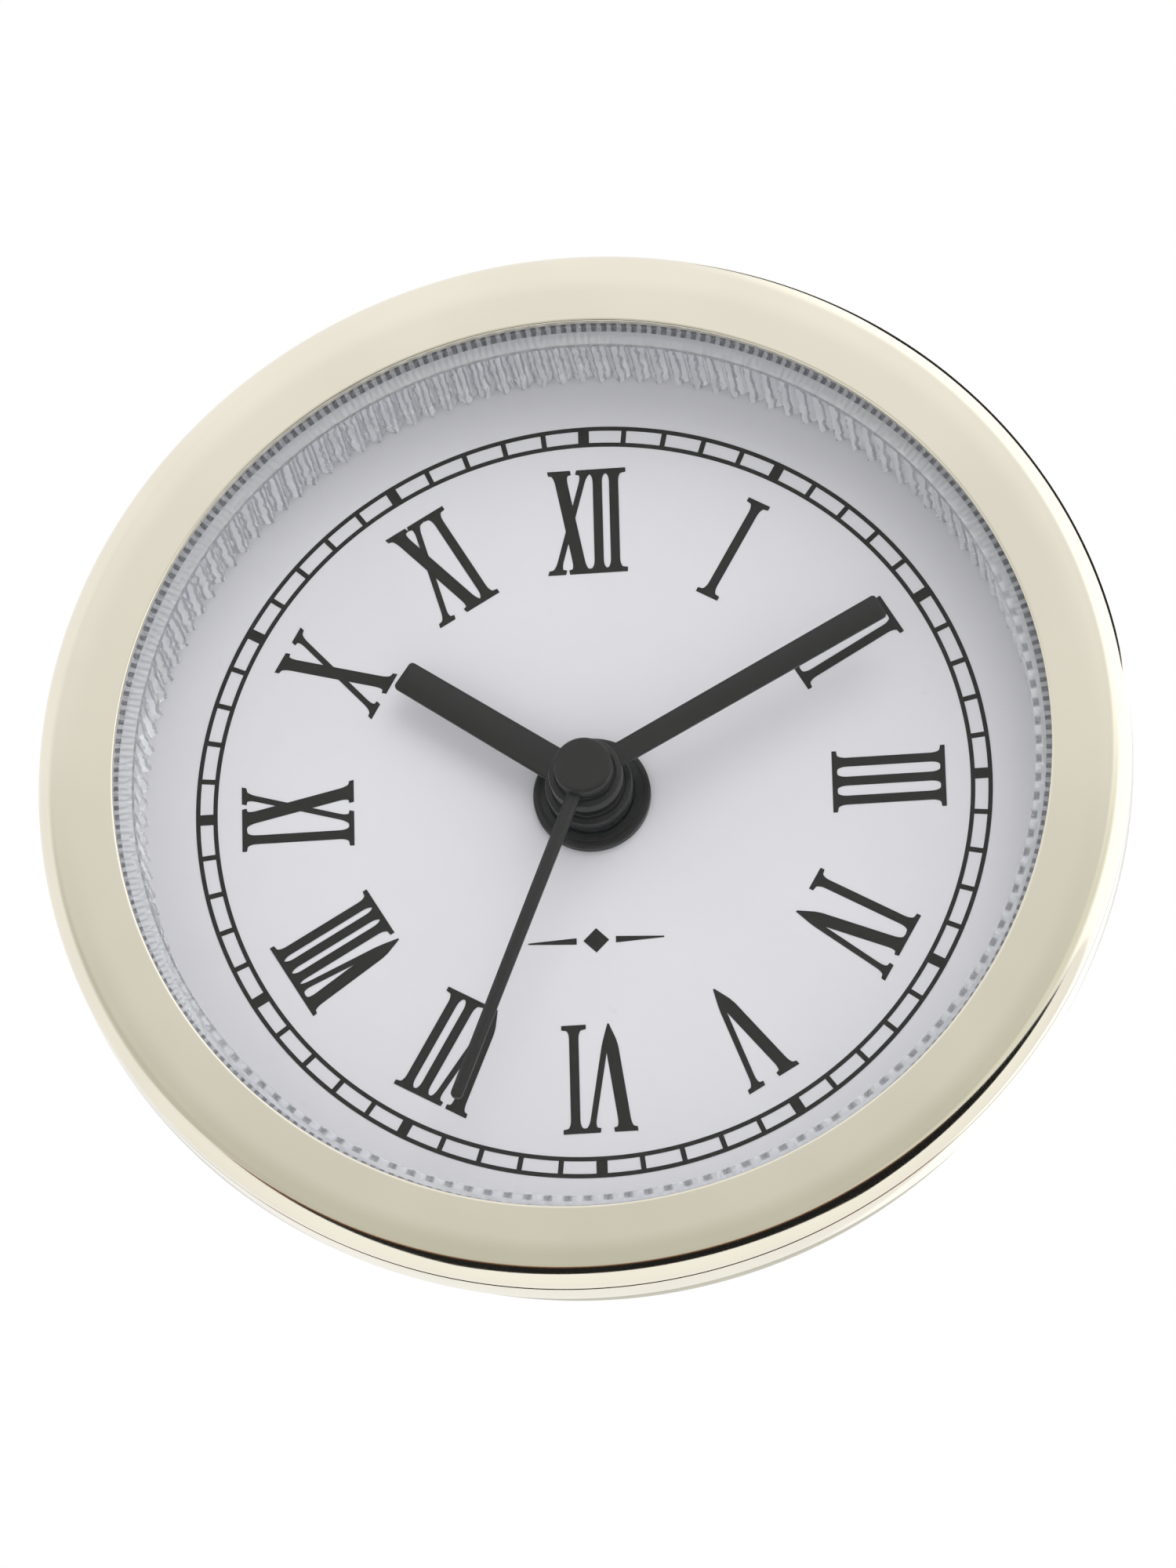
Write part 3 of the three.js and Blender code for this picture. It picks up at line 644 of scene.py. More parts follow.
gasket = {"fins": 3, "finDepth": 0.35, "finSteps": 10, "fullness": 0.7, "ease": 0.15, "room": 0.05}


def makeGasket():
    low, high = span("gasket")
    outer, front, back = high.x, low.y, high.y
    inner, ease, steps = bezel["skirt"] + gasket["room"], gasket["ease"], gasket["finSteps"]
    pitch = (back - front) / gasket["fins"]
    points = [(inner, front + ease), (inner + ease, front)]
    for i in range(gasket["fins"] * steps + 1):
        swell = abs(math.sin(math.pi * i / steps)) ** gasket["fullness"]
        points.append((outer - gasket["finDepth"] * (1 - swell), front + i * pitch / steps))
    points += [(inner + ease, back), (inner, back - ease)]
    return complete(lathe("gasket_ring", points, 240), "gasket_rubber", "housing", "gasket", degrees=60)


def makeWindow():
    low, high = span("window")
    ease = 0.08
    points = [(0, low.y), (high.x - ease, low.y), (high.x, low.y + ease), (high.x, high.y - ease),
              (high.x - ease, high.y), (0, high.y)]
    return complete(lathe("window_glass", points, 192, closed=False), "window_glass", "housing", "window")


# ---- clear fluted ring ----

flutedRing = {"flutes": fluteCountAndPaintedLight["flutes"], "stepsEach": 4, "depth": 0.6, "land": 0.35,
              "ledgeInner": 29.7, "lipInner": 31.05, "ledgeRise": 0.95, "toothDepth": 0.12,
              "toothDrop": 0.12, "ledgeEase": 0.08, "lipEase": 0.05}


def makeFlutedRing():
    low, high = span("spacer_ring")
    wall, lip, outer = flutedRing["ledgeInner"], flutedRing["lipInner"], high.x
    ledge = low.y + flutedRing["ledgeRise"]
    flutesStart = ledge + flutedRing["land"]
    teethEnd = ledge - flutedRing["toothDrop"]
    ease, lipEase = flutedRing["ledgeEase"], flutedRing["lipEase"]
    points = [(wall, high.y), (wall, flutesStart), (wall, ledge + ease), (wall + ease, ledge),
              (lip, ledge), (lip, teethEnd), (lip, low.y + lipEase), (lip + lipEase, low.y),
              (outer, low.y), (outer, high.y)]
    steps = flutedRing["flutes"] * flutedRing["stepsEach"]
    ring = lathe("fluted_ring", points, steps)

    def isAt(co, radius, wanted):
        step = stepAt(co, steps) % flutedRing["stepsEach"]
        return abs(radiusAt(co) - radius) < tiny and step in wanted

    for wanted, share in (((2,), 1), ((1, 3), 0.5)):
        pickVerts(ring, lambda co: isAt(co, wall, wanted) and co.y / mm > flutesStart - tiny)
        spread(wall, flutedRing["depth"] * share)
    pickVerts(ring, lambda co: isAt(co, lip, (1, 3)) and co.y / mm < teethEnd + tiny)
    spread(lip, flutedRing["toothDepth"])
    ring.visible_shadow = False  # light passes through it
    return complete(ring, "clear_plastic", "housing", "spacer_ring", degrees=20)


makeBezel()
makeGasket()
makeWindow()
makeFlutedRing()
print("bezel, gasket, window and clear ring made")


# ---- dial and print ----

dial = {"hole": 2.95, "ease": 0.06, "printLift": 0.03}


def makeDial():
    low, high = span("dial")
    ease = dial["ease"]
    points = [(dial["hole"], high.y), (dial["hole"], low.y + ease), (dial["hole"] + ease, low.y),
              (high.x - ease, low.y), (high.x, low.y + ease), (high.x, high.y)]
    return complete(lathe("dial_plate", points, 192), "dial_white", "housing", "dial")


# the face is given by steps in from the rim and back from the front, with one groove
nut = {"width": 1.05, "face": [(1.05, 0.1), (0.95, 0), (0.55, 0), (0.5, 0.06), (0.4, 0.06), (0.35, 0),
                               (0.12, 0), (0, 0.12)]}


def makeNut():
    low, high = span("centre_nut")
    face = inFrom(high.x, low.y, nut["face"])
    points = [(high.x - nut["width"], high.y)] + face + [(high.x, high.y)]
    return complete(lathe("dial_nut", points, 96), "hand_black", "housing", "centre_nut")


track = {"outer": 26.38, "inner": 25.22, "line": 0.29, "thin": 0.34, "thick": 0.73, "tickSunk": 0.002}


def makeTrack(dialY):
    top = dialY - dial["printLift"]
    bits = []
    for radius in (track["outer"], track["inner"]):
        a, b = radius - track["line"] / 2, radius + track["line"] / 2
        bits.append(lathe("track_line", [(a, dialY), (a, top), (b, top), (b, dialY)], 240))
    marks = range(60)
    for width, minutes in ((track["thick"], marks[::5]), (track["thin"], [n for n in marks if n % 5])):
        tick = slab("tick", (-width / 2, top + track["tickSunk"], track["inner"]),
                    (width / 2, dialY, track["outer"]))
        bits += [copied(tick, "tick", turn=6 * n) for n in minutes]
        bpy.data.objects.remove(tick)
    return complete(joinAll(bits, "minute_track"), "print_black", "housing")


numeral = {"foot": 15.93, "top": 23.43, "slab": 0.3, "bracket": 0.55, "bracketWidth": 0.55,
           "bracketSteps": 4, "stepRise": 0.02, "stem": 0.62, "bold": 0.84, "fine": 0.4,
           "stemSerif": 1.62, "boldSerif": 1.55, "fineSerif": 1.2, "pointWidth": 0.1,
           "pointShoulder": 1.1, "pointNarrow": 0.85, "pointEnd": 1.6, "overlap": 0.004}


def strokeEnd(serif, width):
    # (distance from the end, width) in steps: a bracketed serif, or a point where there is none
    if not serif:
        return [(0, numeral["pointWidth"]), (numeral["pointShoulder"], width * numeral["pointNarrow"]),
                (numeral["pointEnd"], width)]
    steps = [(0, serif), (numeral["slab"], serif)]
    for i in range(1, numeral["bracketSteps"] + 1):
        turn = math.radians(90 * i / numeral["bracketSteps"])
        wider = (serif - width) * (1 - math.sin(turn)) * numeral["bracketWidth"]
        rise = numeral["bracket"] * (1 - math.cos(turn)) + numeral["stepRise"] * i
        steps.append((numeral["slab"] + rise, width + wider))
    return steps


def stroke(footX, topX, width, footSerif, topSerif, dialY):
    # one stroke, built up from foot to top in level steps so that its serifs stay level
    height = numeral["top"] - numeral["foot"]
    fromTop = [(height - drop, wide) for drop, wide in strokeEnd(topSerif, width)]
    steps = sorted(strokeEnd(footSerif, width) + fromTop)

    def across(z):
        return footX + (topX - footX) * z / height

    def spot(z):
        return (across(z) * mm, dialY * mm, (numeral["foot"] + z) * mm)

    deselectAll()
    lastZ, lastWidth = steps[0]
    bpy.ops.mesh.primitive_plane_add(size=mm, rotation=(math.pi / 2, 0, 0))
    piece = settle(bpy.context.object)
    bpy.ops.object.mode_set(mode="EDIT")
    bpy.ops.mesh.select_mode(type="VERT")
    bpy.ops.mesh.select_all(action="SELECT")
    bpy.ops.transform.resize(value=(lastWidth, 1, 0), center_override=(0, 0, 0))
    bpy.ops.transform.translate(value=spot(lastZ))
    bpy.ops.mesh.remove_doubles(threshold=weld)
    bpy.ops.mesh.select_all(action="SELECT")
    for z, wide in steps[1:]:
        move = ((across(z) - across(lastZ)) * mm, 0, (z - lastZ) * mm)
        bpy.ops.mesh.extrude_region_move(TRANSFORM_OT_translate={"value": move})
        bpy.ops.transform.resize(value=(wide / lastWidth, 1, 1), center_override=spot(z))
        lastZ, lastWidth = z, wide
    bpy.ops.object.mode_set(mode="OBJECT")
    return piece


# strokes of each numeral: kind, place of the foot and of the top across the numeral, in millimetres
numeralStrokes = {
    1: [("stem", 0, 0)],
    2: [("stem", -0.7, -0.7), ("stem", 0.7, 0.7)],
    3: [("stem", -1.34, -1.34), ("stem", 0, 0), ("stem", 1.34, 1.34)],
    4: [("stem", -1.5, -1.5), ("boldPoint", 1.07, 0.05), ("finePoint", 1.07, 2.15)],
    5: [("boldPoint", 0.37, -0.85), ("finePoint", 0.37, 1.62)],
    6: [("boldPoint", -0.63, -1.68), ("finePoint", -0.63, 0.62), ("stem", 1.65, 1.65)],
    7: [("boldPoint", -1.5, -2.5), ("finePoint", -1.5, -0.78), ("stem", 0.2, 0.2), ("stem", 1.35, 1.35)],
    8: [("boldPoint", -1.4, -2.12), ("finePoint", -1.4, -0.75), ("stem", -0.05, -0.05),
        ("stem", 0.95, 0.95), ("stem", 1.95, 1.95)],
    9: [("stem", -1.6, -1.6), ("bold", 1.45, -0.2), ("fine", -0.6, 1.57)],
    10: [("bold", 1.07, -0.93), ("fine", -1.15, 1.3)],
    11: [("bold", 0.6, -1.33), ("fine", -1.67, 0.2), ("stem", 1.57, 1.57)],
    12: [("bold", -0.35, -1.75), ("fine", -2.0, 0.05), ("stem", 0.85, 0.85), ("stem", 1.95, 1.95)],
}


def makeNumerals(dialY):
    kinds = {
        "stem": (numeral["stem"], numeral["stemSerif"], numeral["stemSerif"]),
        "bold": (numeral["bold"], numeral["boldSerif"], numeral["boldSerif"]),
        "fine": (numeral["fine"], numeral["fineSerif"], numeral["fineSerif"]),
        "boldPoint": (numeral["bold"], 0, numeral["boldSerif"]),
        "finePoint": (numeral["fine"], 0, numeral["fineSerif"]),
    }
    bits = []
    for hour, strokes in numeralStrokes.items():
        for n, (kind, foot, top) in enumerate(strokes):
            width, footSerif, topSerif = kinds[kind]
            bit = stroke(foot, top, width, footSerif, topSerif, dialY - numeral["overlap"] * n)
            bits.append(placed(bit, turn=30 * hour))
    piece = joinAll(bits, "numerals")
    only(piece)
    bpy.ops.object.mode_set(mode="EDIT")
    bpy.ops.mesh.select_all(action="SELECT")
    bpy.ops.mesh.normals_make_consistent(inside=False)
    bpy.ops.object.mode_set(mode="OBJECT")
    facing = sum(face.normal.y for face in piece.data.polygons)
    thick = piece.modifiers.new("ink", "SOLIDIFY")
    thick.thickness = dial["printLift"] * mm
    thick.offset = 1 if facing < 0 else -1
    bpy.ops.object.modifier_apply(modifier=thick.name)
    return complete(piece, "print_black", "housing")


ornament = {"drop": 10.1, "reach": 4.5, "lozenge": 0.85, "gap": 0.45, "ruleHalf": 0.22, "taper": 0.2,
            "border": 0.28, "sink": 0.012}


def makeOrnament(dialY):
    # a lozenge between two tapered rules
    top = dialY - dial["printLift"]
    z, size, half = -ornament["drop"], ornament["lozenge"], ornament["ruleHalf"]
    diamond = rod((0, z), size, top, dialY, 4)
    pickFaces(diamond, facesFront)
    bpy.ops.mesh.inset(thickness=ornament["border"] * size * mm)
    bpy.ops.transform.translate(value=(0, ornament["sink"] * mm, 0))
    objectMode()
    bits = [diamond]
    for side in (-1, 1):
        start = side * (size + ornament["gap"])
        end = side * ornament["reach"]
        rule = slab("rule", (min(start, end), top, z - half), (max(start, end), dialY, z + half))
        pickVerts(rule, lambda co: abs(co.x / mm - end) < tiny)
        bpy.ops.transform.resize(value=(1, 1, ornament["taper"]), center_override=(0, 0, z * mm))
        objectMode()
        bits.append(rule)
    return complete(joinAll(bits, "dial_ornament"), "print_black", "housing")


dialFront = span("dial")[0].y
makeDial()
makeNut()
makeTrack(dialFront)
makeNumerals(dialFront)
makeOrnament(dialFront)
print("dial and print made")


# ---- hands ----

# angles in degrees clockwise from twelve; the second hand's front falls away at its sides
hands = {
    "hour": {"angle": 305.1, "reach": 15.0, "root": 2.35, "tip": 2.15, "front": 1.5, "back": 1.8,
             "hub": 2.9, "bore": 1.9, "hubFront": 1.35, "hubBack": 2.4, "corner": 0.3},
    "minute": {"angle": 61.9, "reach": 22.5, "root": 1.6, "tip": 1.75, "front": -0.6, "back": -0.3,
               "hub": 2.45, "bore": 1.2, "hubFront": -0.75, "hubBack": 0.3, "corner": 0.25},
    "second": {"angle": 201.9, "reach": 24.0, "root": 0.95, "tip": 0.8, "front": -1.65, "back": -1.2,
               "hub": 1.95, "capTop": -2.2, "corner": 0.36, "slope": 0.24, "fall": 0.22,
               "capDome": 0.02, "domeStart": 0.35, "capFlat": 0.32, "capRound": 0.22, "ease": 0.05,
               "plug": 1.06, "plugDepth": 0.3},
}
armEdge = 0.05


def arm(hand):
    wide = hand["root"] / 2
    piece = slab("arm", (-wide, hand["front"], 0), (wide, hand["back"], hand["reach"]))
    pickVerts(piece, lambda co: co.z / mm > hand["reach"] - tiny)
    bpy.ops.transform.resize(value=(hand["tip"] / hand["root"], 1, 1), center_override=(0, 0, 0))
    objectMode()
    pickEdges(piece, lambda a, b: alongY(a, b) and a.z / mm > hand["reach"] - tiny)
    bpy.ops.mesh.bevel(offset=hand["corner"] * mm, segments=6)
    objectMode()
    if "slope" in hand:
        pickFaces(piece, facesFront)
        bpy.ops.mesh.inset(thickness=hand["slope"] * mm)
        objectMode()
        side = hand["tip"] / 2 - 0.6 * hand["slope"]
        pickVerts(piece, lambda co: abs(co.y / mm - hand["front"]) < tiny and abs(co.x / mm) > side)
        bpy.ops.transform.translate(value=(0, hand["fall"] * mm, 0))
        objectMode()
    return bevelled(piece, armEdge * mm, 2, 40)


hubShape = {"face": [(0.62, 0), (0.56, 0.06), (0.46, 0.06), (0.4, 0), (0.14, 0), (0.04, 0.05), (0, 0.16)],
            "ease": 0.05, "backEase": 0.06, "armRoom": 0.02, "cutHalf": 3}


def makeFlatHand(name, node, body):
    hand = hands[name]
    hub, bore, front, back = hand["hub"], hand["bore"], hand["hubFront"], hand["hubBack"]
    ease, backEase, half = hubShape["ease"], hubShape["backEase"], hubShape["cutHalf"]
    points = [(bore, back), (bore, front + ease), (bore + ease, front)]
    points += inFrom(hub, front, hubShape["face"]) + [(hub, back - backEase), (hub - backEase, back)]
    disc = lathe("hub", points, 96)
    bar = arm(hand)
    cutWith(bar, [rod((0, 0), bore + hubShape["armRoom"], hand["front"] - half, hand["front"] + half, 48)])
    piece = placed(joinAll([disc, bar], f"{name}_hand_piece"), turn=hand["angle"])
    return complete(piece, "hand_black", body, node)


def makeSecondHand():
    hand = hands["second"]
    top, hub, back, bend, ease = hand["capTop"], hand["hub"], hand["back"], hand["capRound"], hand["ease"]
    plug, plugEnd = hand["plug"], back - hand["plugDepth"]
    cap = [(0, top + hand["capDome"]), (hand["domeStart"] * hub, top), (hub - hand["capFlat"], top)]
    cap += arc((hub - bend, top + bend), bend, 270, 360, 6)
    cap += [(hub, back - ease), (hub - ease, back), (plug, back), (plug, plugEnd), (0, plugEnd)]
    piece = joinAll([lathe("cap", cap, 96, closed=False), arm(hand)], "second_hand_piece")
    return complete(placed(piece, turn=hand["angle"]), "hand_black", "second", "second_hand")


makeFlatHand("hour", "hour_hand", "hour")
makeFlatHand("minute", "minute_hand", "minute")
makeSecondHand()
print("hands made")


# ---- case and movement at the back ----

def middle(node):  # a node's centre as (x, z), in millimetres
    low, high = span(node)
    return (low.x + high.x) / 2, (low.z + high.z) / 2


def reachOf(node):  # half of a node's width, in millimetres
    low, high = span(node)
    return (high.x - low.x) / 2


screws = {
    "case": {"count": 4, "shank": 0.8, "headDepth": 0.65, "turn": 35, "room": 0.3, "recess": 0.7},
    "cover": {"count": 4, "shank": 0.55, "headDepth": 0.45, "turn": 50, "room": 0.15, "recess": 0.5},
}
screwHead = {"dome": [(0, -0.16), (0.1, -0.06), (0.3, -0.01)], "slotWidth": 0.28, "slotDepth": 0.32,
             "edge": 0.03}


def headReach(kind):
    low, high = span(f"{kind}_screw_2")
    return (high.z - low.z) / 2


def makeScrews(kind):
    # one screw with a slotted, softly domed head, then a copy in each place
    screw, head = screws[kind], headReach(kind)
    low, high = span(f"{kind}_screw_2")
    top, tip, shank = high.y, low.y, screw["shank"]
    under = top - screw["headDepth"]
    points = [(0, tip), (shank, tip + shank), (shank, under), (head, under)]
    points += inFrom(head, top, screwHead["dome"]) + [(0, top)]
    first = lathe("screw", points, 40, closed=False)
    half, past = screwHead["slotWidth"] * head / 2, head + 1
    slot = slab("slot", (-past, top - screwHead["slotDepth"], -half), (past, top + 1, half))
    cutWith(first, [slot])
    bevelled(first, screwHead["edge"] * mm, 2, 50)
    for n in range(1, screw["count"] + 1):
        node = f"{kind}_screw_{n}"
        piece = copied(first, f"{kind}_screw_piece_{n}", middle(node), screw["turn"] * n)
        complete(piece, "steel", "housing", node)
    bpy.data.objects.remove(first)


def screwHoles(kind, low, high, past):
    # a hole for each shank and a recess for each head, the cutters reaching past the plate
    screw = screws[kind]
    cutters = []
    for n in range(1, screw["count"] + 1):
        at = middle(f"{kind}_screw_{n}")
        cutters.append(rod(at, screw["shank"] + screw["room"], low - past, high + past))
        cutters.append(rod(at, headReach(kind) + screw["room"], high - screw["recess"], high + past))
    return cutters


caseCup = {"wall": 1.4, "edge": 0.5, "innerEase": 0.3, "rimEase": 0.12, "hole": 19.3, "holeCorner": 3.3,
           "grooveAt": 29.4, "groove": [(-0.5, 0), (-0.35, -0.25), (0.35, -0.25), (0.5, 0)],
           "past": 2, "cutEdge": 0.1}


def makeCaseCup():
    low, high = span("case_cup")
    outer, back, edge, rim = high.x, high.y, caseCup["edge"], caseCup["rimEase"]
    inner, floor, ease = outer - caseCup["wall"], back - caseCup["wall"], caseCup["innerEase"]
    points = [(0, floor), (inner - ease, floor), (inner, floor - ease), (inner, low.y + rim),
              (inner + rim, low.y), (outer - rim, low.y), (outer, low.y + rim)]
    points += arc((outer - edge, back - edge), edge, 0, 90, 6)
    points += inFrom(caseCup["grooveAt"], back, caseCup["groove"]) + [(0, back)]
    cup = lathe("case_cup_piece", points, 192, closed=False)
    reach, past = caseCup["hole"], caseCup["past"]
    opening = slab("opening", (-reach, floor - past, -reach), (reach, back + past, reach),
                   caseCup["holeCorner"])
    cutWith(cup, [opening] + screwHoles("case", floor, back, past))
    bevelled(cup, caseCup["cutEdge"] * mm, 2, 60)
    return complete(cup, "case_plastic", "housing", "case_cup")


cover = {"corner": 3.0, "doorHole": 6.15, "doorRoom": 0.15, "knobRoom": 0.5, "stemRoom": 1.2,
         "knobDip": 0.4, "past": 1, "cutEdge": 0.12}
coverMarks = {"size": 1.6, "width": 0.42, "rise": 0.15, "sunk": 0.1, "right": 2.2, "up": 1.2,
              "overlap": 0.005, "pips": 4, "pipTurn": 12, "pipRoom": 1.7, "pipSize": 0.16,
              "pipGrowth": 0.03, "edge": 0.04}


def makeCover():
    low, high = span("movement_cover")
    plate = slab("movement_cover_piece", low, high, cover["corner"], 8)
    doorAt, knobAt = middle("battery_door"), middle("set_knob")
    doorRecess = reachOf("battery_door") + cover["doorRoom"]
    knobRecess = reachOf("set_knob") + cover["knobRoom"]
    bottom, top = low.y - cover["past"], high.y + cover["past"]
    cutters = [rod(doorAt, cover["doorHole"], bottom, top, 96),
               rod(doorAt, doorRecess, (low.y + high.y) / 2, top, 96),
               rod(knobAt, knobRecess, high.y - cover["knobDip"], top, 96),
               rod(knobAt, cover["stemRoom"], bottom, top)]
    cutWith(plate, cutters + screwHoles("cover", low.y, high.y, cover["past"]))
    bevelled(plate, cover["cutEdge"] * mm, 2, 50)
    makeCoverMarks(high.y)
    return complete(plate, "black_plastic", "housing", "movement_cover")


def makeCoverMarks(face):
    # a raised cross beside the cell marks the side that faces out
    size, wide = coverMarks["size"], coverMarks["width"]
    bottom, top = face - coverMarks["sunk"], face + coverMarks["rise"]
    x, z = middle("battery_door")
    x += reachOf("battery_door") + coverMarks["right"]
    z += coverMarks["up"] - reachOf("battery_door")
    bars = [slab("bar", (x - size, bottom, z - wide), (x + size, top, z + wide)),
            slab("bar", (x - wide, bottom, z - size), (x + wide, top - coverMarks["overlap"], z + size))]
    # two arcs of pips round the knob, one for each way it turns
    knobX, knobZ = middle("set_knob")
    reach = reachOf("set_knob") + coverMarks["pipRoom"]
    for n in range(-coverMarks["pips"], coverMarks["pips"] + 1):
        turn = math.radians(n * coverMarks["pipTurn"])
        size = coverMarks["pipSize"] + coverMarks["pipGrowth"] * abs(n)
        for side in (-1, 1):
            at = (knobX + side * reach * math.cos(turn), knobZ + reach * math.sin(turn))
            bars.append(rod(at, size, bottom, top, 16))
    marks = joinAll([bevelled(bar, coverMarks["edge"] * mm, 2, 50) for bar in bars], "cover_marks")
    return complete(marks, "black_plastic", "housing")


door = {"plug": 6.0, "slotHalf": 4.3, "slotDepth": 0.5, "slotWidth": 0.7, "turn": 45, "ease": 0.15,
        "stepEase": 0.05, "rim": [(0, -0.15), (0.15, 0), (0.9, 0), (1.0, -0.12), (1.25, -0.12), (1.35, 0)],
        "cutEdge": 0.06}


def makeDoor():
    low, high = span("battery_door")
    radius, back, plug = reachOf("battery_door"), high.y, door["plug"]
    ease, stepEase = door["ease"], door["stepEase"]
    step = (low.y + back) / 2 + stepEase
    points = [(0, low.y), (plug - ease, low.y), (plug, low.y + ease), (plug, step),
              (radius - stepEase, step), (radius, step + stepEase)]
    points += inFrom(radius, back, door["rim"]) + [(0, back)]
    lid = lathe("battery_door_piece", points, 96, closed=False)
    half, wide = door["slotHalf"], door["slotWidth"]
    cutWith(lid, [slab("coinSlot", (-half, back - door["slotDepth"], -wide), (half, back + 1, wide))])
    bevelled(lid, door["cutEdge"] * mm, 2, 50)
    placed(lid, middle("battery_door"), door["turn"])
    return complete(lid, "black_plastic", "cell_door", "battery_door")


cell = {"neck": [(0.75, 0), (0.65, 0.1), (0.6, 0.5), (0.3, 0.5), (0, 0.85)], "round": 0.45,
        "rimInner": 1.2, "dishInner": 1.35, "dishDepth": 0.06}


def makeCell():
    low, high = span("button_cell")
    radius, back, bend = reachOf("button_cell"), high.y, cell["round"]
    dish = back - cell["dishDepth"]
    points = [(0, low.y)] + inFrom(radius, low.y, cell["neck"]) + [(radius, back - bend)]
    points += arc((radius - bend, back - bend), bend, 0, 90, 6)
    points += [(radius - cell["rimInner"], back), (radius - cell["dishInner"], dish), (0, dish)]
    can = placed(lathe("button_cell_piece", points, 96, closed=False), middle("button_cell"))
    return complete(can, "cell_steel", "housing", "button_cell")


knob = {"teeth": 24, "stepsEach": 6, "toothDepth": 0.35, "bore": 1.05, "ease": 0.15,
        "crown": [(0, -0.4), (0.12, -0.15), (0.4, 0), (1.1, 0), (1.3, -0.3)],
        "boss": 0.7, "bossEase": 0.5, "dish": 0.3, "toothBand": 0.2, "cutEdge": 0.05}


def makeKnob():
    low, high = span("set_knob")
    radius, back, bore, ease = reachOf("set_knob"), high.y, knob["bore"], knob["ease"]
    points = [(bore, low.y), (radius - ease, low.y), (radius, low.y + ease)]
    points += inFrom(radius, back, knob["crown"])
    points += [(bore + knob["boss"], back - knob["dish"]), (bore + knob["bossEase"], back), (bore, back)]
    steps = knob["teeth"] * knob["stepsEach"]
    grip = lathe("set_knob_piece", points, steps)

    def inGap(co):
        step = stepAt(co, steps) % knob["stepsEach"]
        return radiusAt(co) > radius - knob["toothBand"] and step in (2, 3, 4)

    pickVerts(grip, inGap)
    spread(radius, -knob["toothDepth"])
    bevelled(grip, knob["cutEdge"] * mm, 2, 40)
    return complete(placed(grip, middle("set_knob")), "black_plastic", "setting_knob", "set_knob")


makeScrews("case")
makeScrews("cover")
makeCaseCup()
makeCover()
makeDoor()
makeCell()
makeKnob()
print("case and movement made")


# ---- stage, light and camera ----

view = {"azimuth": 5.786, "elevation": -20.699, "distance": 594.26, "aim": (-0.289, 3.9, 0.921),
        "roll": -1.448, "lens": 206.0}


def towards(azimuth, elevation):
    a, e = math.radians(azimuth), math.radians(elevation)
    return Vector((math.sin(a) * math.cos(e), -math.cos(a) * math.cos(e), math.sin(e)))


def makeCamera():
    lens = bpy.data.cameras.new("viewCamera")
    lens.lens = view["lens"]
    lens.clip_start = 0.01
    camera = bpy.data.objects.new("viewCamera", lens)
    bpy.context.scene.collection.objects.link(camera)
    back = towards(view["azimuth"], view["elevation"])
    level = Vector((0, 0, 1)).cross(back).normalized()
    upright = back.cross(level)
    roll = math.radians(view["roll"])
    right = level * math.cos(roll) + upright * math.sin(roll)
    up = back.cross(right)
    turn = Matrix((right, up, back)).transposed().to_4x4()
    place = Vector(view["aim"]) * mm + back * view["distance"] * mm
    camera.matrix_world = Matrix.Translation(place) @ turn
    bpy.context.scene.camera = camera


floorPlace = {"level": -262.0, "size": 4000.0, "colour": (0.86, 0.86, 0.85)}


def makeFloor():
    def nodes(sheet):
        grain = sheet.noise(6, 3)
        colour = floorPlace["colour"]
        return {"Base Color": sheet.mix(grain.band(0.3, 0.7), shade(colour, 0.985), shade(colour, 1.0)),
                "Roughness": 0.75 + grain * 0.1}
    deselectAll()
    bpy.ops.mesh.primitive_plane_add(size=floorPlace["size"] * mm, location=(0, 0, floorPlace["level"] * mm))
    floor = settle(bpy.context.object)
    floor.name = "floor"
    floor.data.materials.append(finish("floorPaper", {"Specular IOR Level": 0.2}, nodes))


world = {"light": (1.0, 1.0, 1.0), "strength": 1.0, "dim": (0.61, 0.615, 0.55), "dimFrom": 29.0,
         "dimTo": 11.0, "front": (0.55, 0.85), "side": 1.4, "sideBand": (0.02, 0.32)}


def makeWorld():
    # a white studio, dimmer in front at eye level than overhead, and brighter on the right
    made = bpy.data.worlds.new("studio")
    made.use_nodes = True
    bpy.context.scene.world = made
    sheet = Sheet(made.node_tree)
    x, y, z = sheet.parts("Generated")
    elevation = sheet.maths("ARCSINE", z) * perRadian
    front = (0 - y).band(*world["front"])
    low = 1 - elevation.band(world["dimTo"], world["dimFrom"])
    tone = sheet.mix(front * low, rgb(world["light"]), rgb(world["dim"]))
    strength = world["strength"] + x.band(*world["sideBand"]) * (world["side"] - 1)
    shader = sheet.node("ShaderNodeBackground", sockets={"Color": tone, "Strength": strength})
    sheet.node("ShaderNodeOutputWorld", sockets={"Surface": shader})


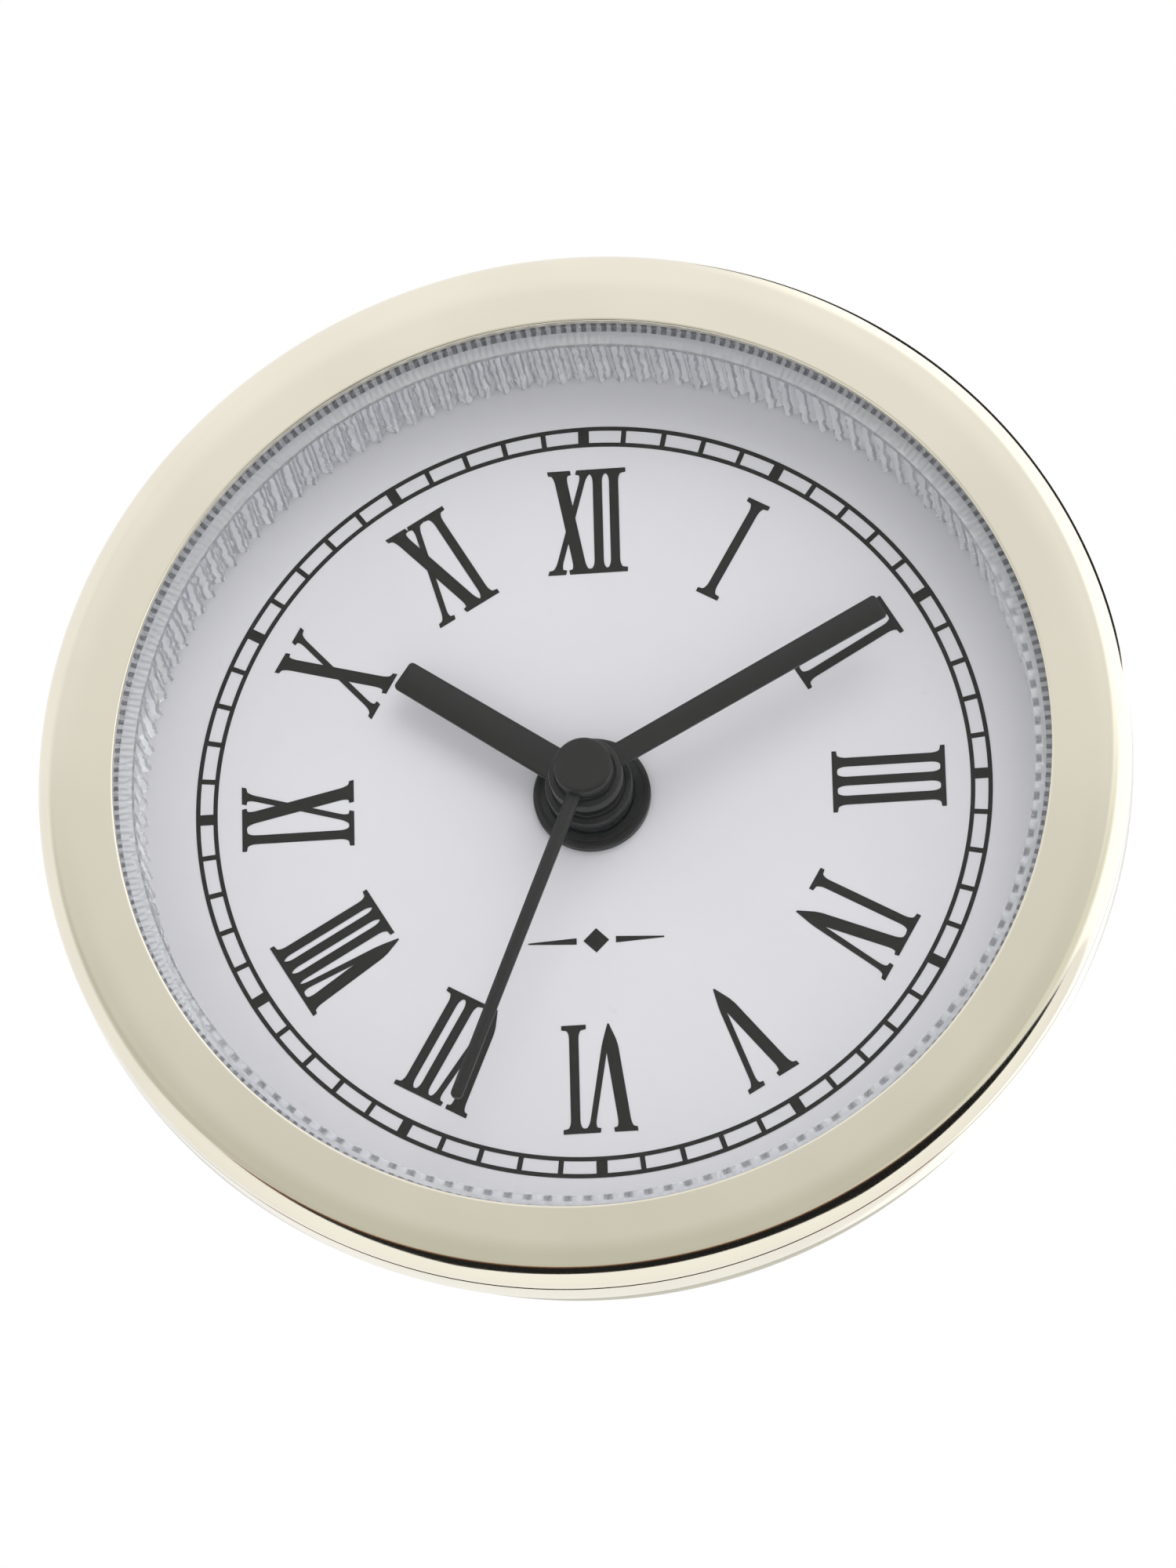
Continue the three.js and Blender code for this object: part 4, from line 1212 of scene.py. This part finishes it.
cards = {
    "front_card": {"radius": 330.0, "left": -38.0, "right": 62.0, "low": -54.0, "high": -12.0, "steps": 48},
    "back_card": {"radius": 340.0, "left": 118.0, "right": 172.0, "low": 25.0, "high": 66.0, "steps": 24},
}
cardRows = 12
felt = {"black": (0.010, 0.010, 0.010), "brown": (0.26, 0.12, 0.06), "side": (16, 30),
        "rise": (-0.36, -0.22)}


def feltNodes(sheet):
    x, y, z = sheet.parts()
    side = sheet.maths("ARCTAN2", x, 0 - y) * perRadian
    low, high = (part * cards["front_card"]["radius"] * mm for part in felt["rise"])
    warm = (1 - side.band(*felt["side"])) * z.band(low, high)
    nap = sheet.noise(300, 3)
    tone = sheet.mix(warm, rgb(felt["black"]), rgb(felt["brown"]))
    return {"Base Color": tone, "Roughness": 0.85 + nap * 0.1}


def makeCard(name):
    # a dark curved card, which the polished edge of the bezel mirrors
    card = cards[name]
    rises = [card["low"] + (card["high"] - card["low"]) * i / cardRows for i in range(cardRows + 1)]
    piece = drawn(name, [towards(card["right"], rise) * card["radius"] * mm for rise in rises])
    turn = math.radians(card["right"] - card["left"])
    bpy.ops.mesh.spin(steps=card["steps"], angle=turn, center=(0, 0, 0), axis=(0, 0, 1))
    bpy.ops.object.mode_set(mode="OBJECT")
    piece.data.materials.append(finishes["darkFelt"])
    piece.visible_camera = False
    piece.visible_diffuse = False
    piece.visible_shadow = False
    piece.visible_transmission = False


lights = {
    "key": {"azimuth": 18, "elevation": 32, "distance": 900, "size": 640, "power": 1.75,
            "colour": (1.0, 0.99, 0.97)},
}


def makeLights():
    for name, light in lights.items():
        lamp = bpy.data.lights.new(name, "AREA")
        lamp.shape = "DISK"
        lamp.size = light["size"] * mm
        lamp.energy = light["power"]
        lamp.color = light["colour"]
        holder = bpy.data.objects.new(name, lamp)
        bpy.context.scene.collection.objects.link(holder)
        direction = towards(light["azimuth"], light["elevation"])
        holder.location = direction * light["distance"] * mm
        holder.rotation_euler = direction.to_track_quat("Z", "Y").to_euler()
        holder.visible_glossy = False  # the polished bezel mirrors the room only


makeCamera()
makeFloor()
makeWorld()
finish("darkFelt", {"Specular IOR Level": 0.1}, feltNodes)
for name in cards:
    makeCard(name)
makeLights()
bpy.context.scene.view_settings.view_transform = "Standard"
print("stage, light and camera made")
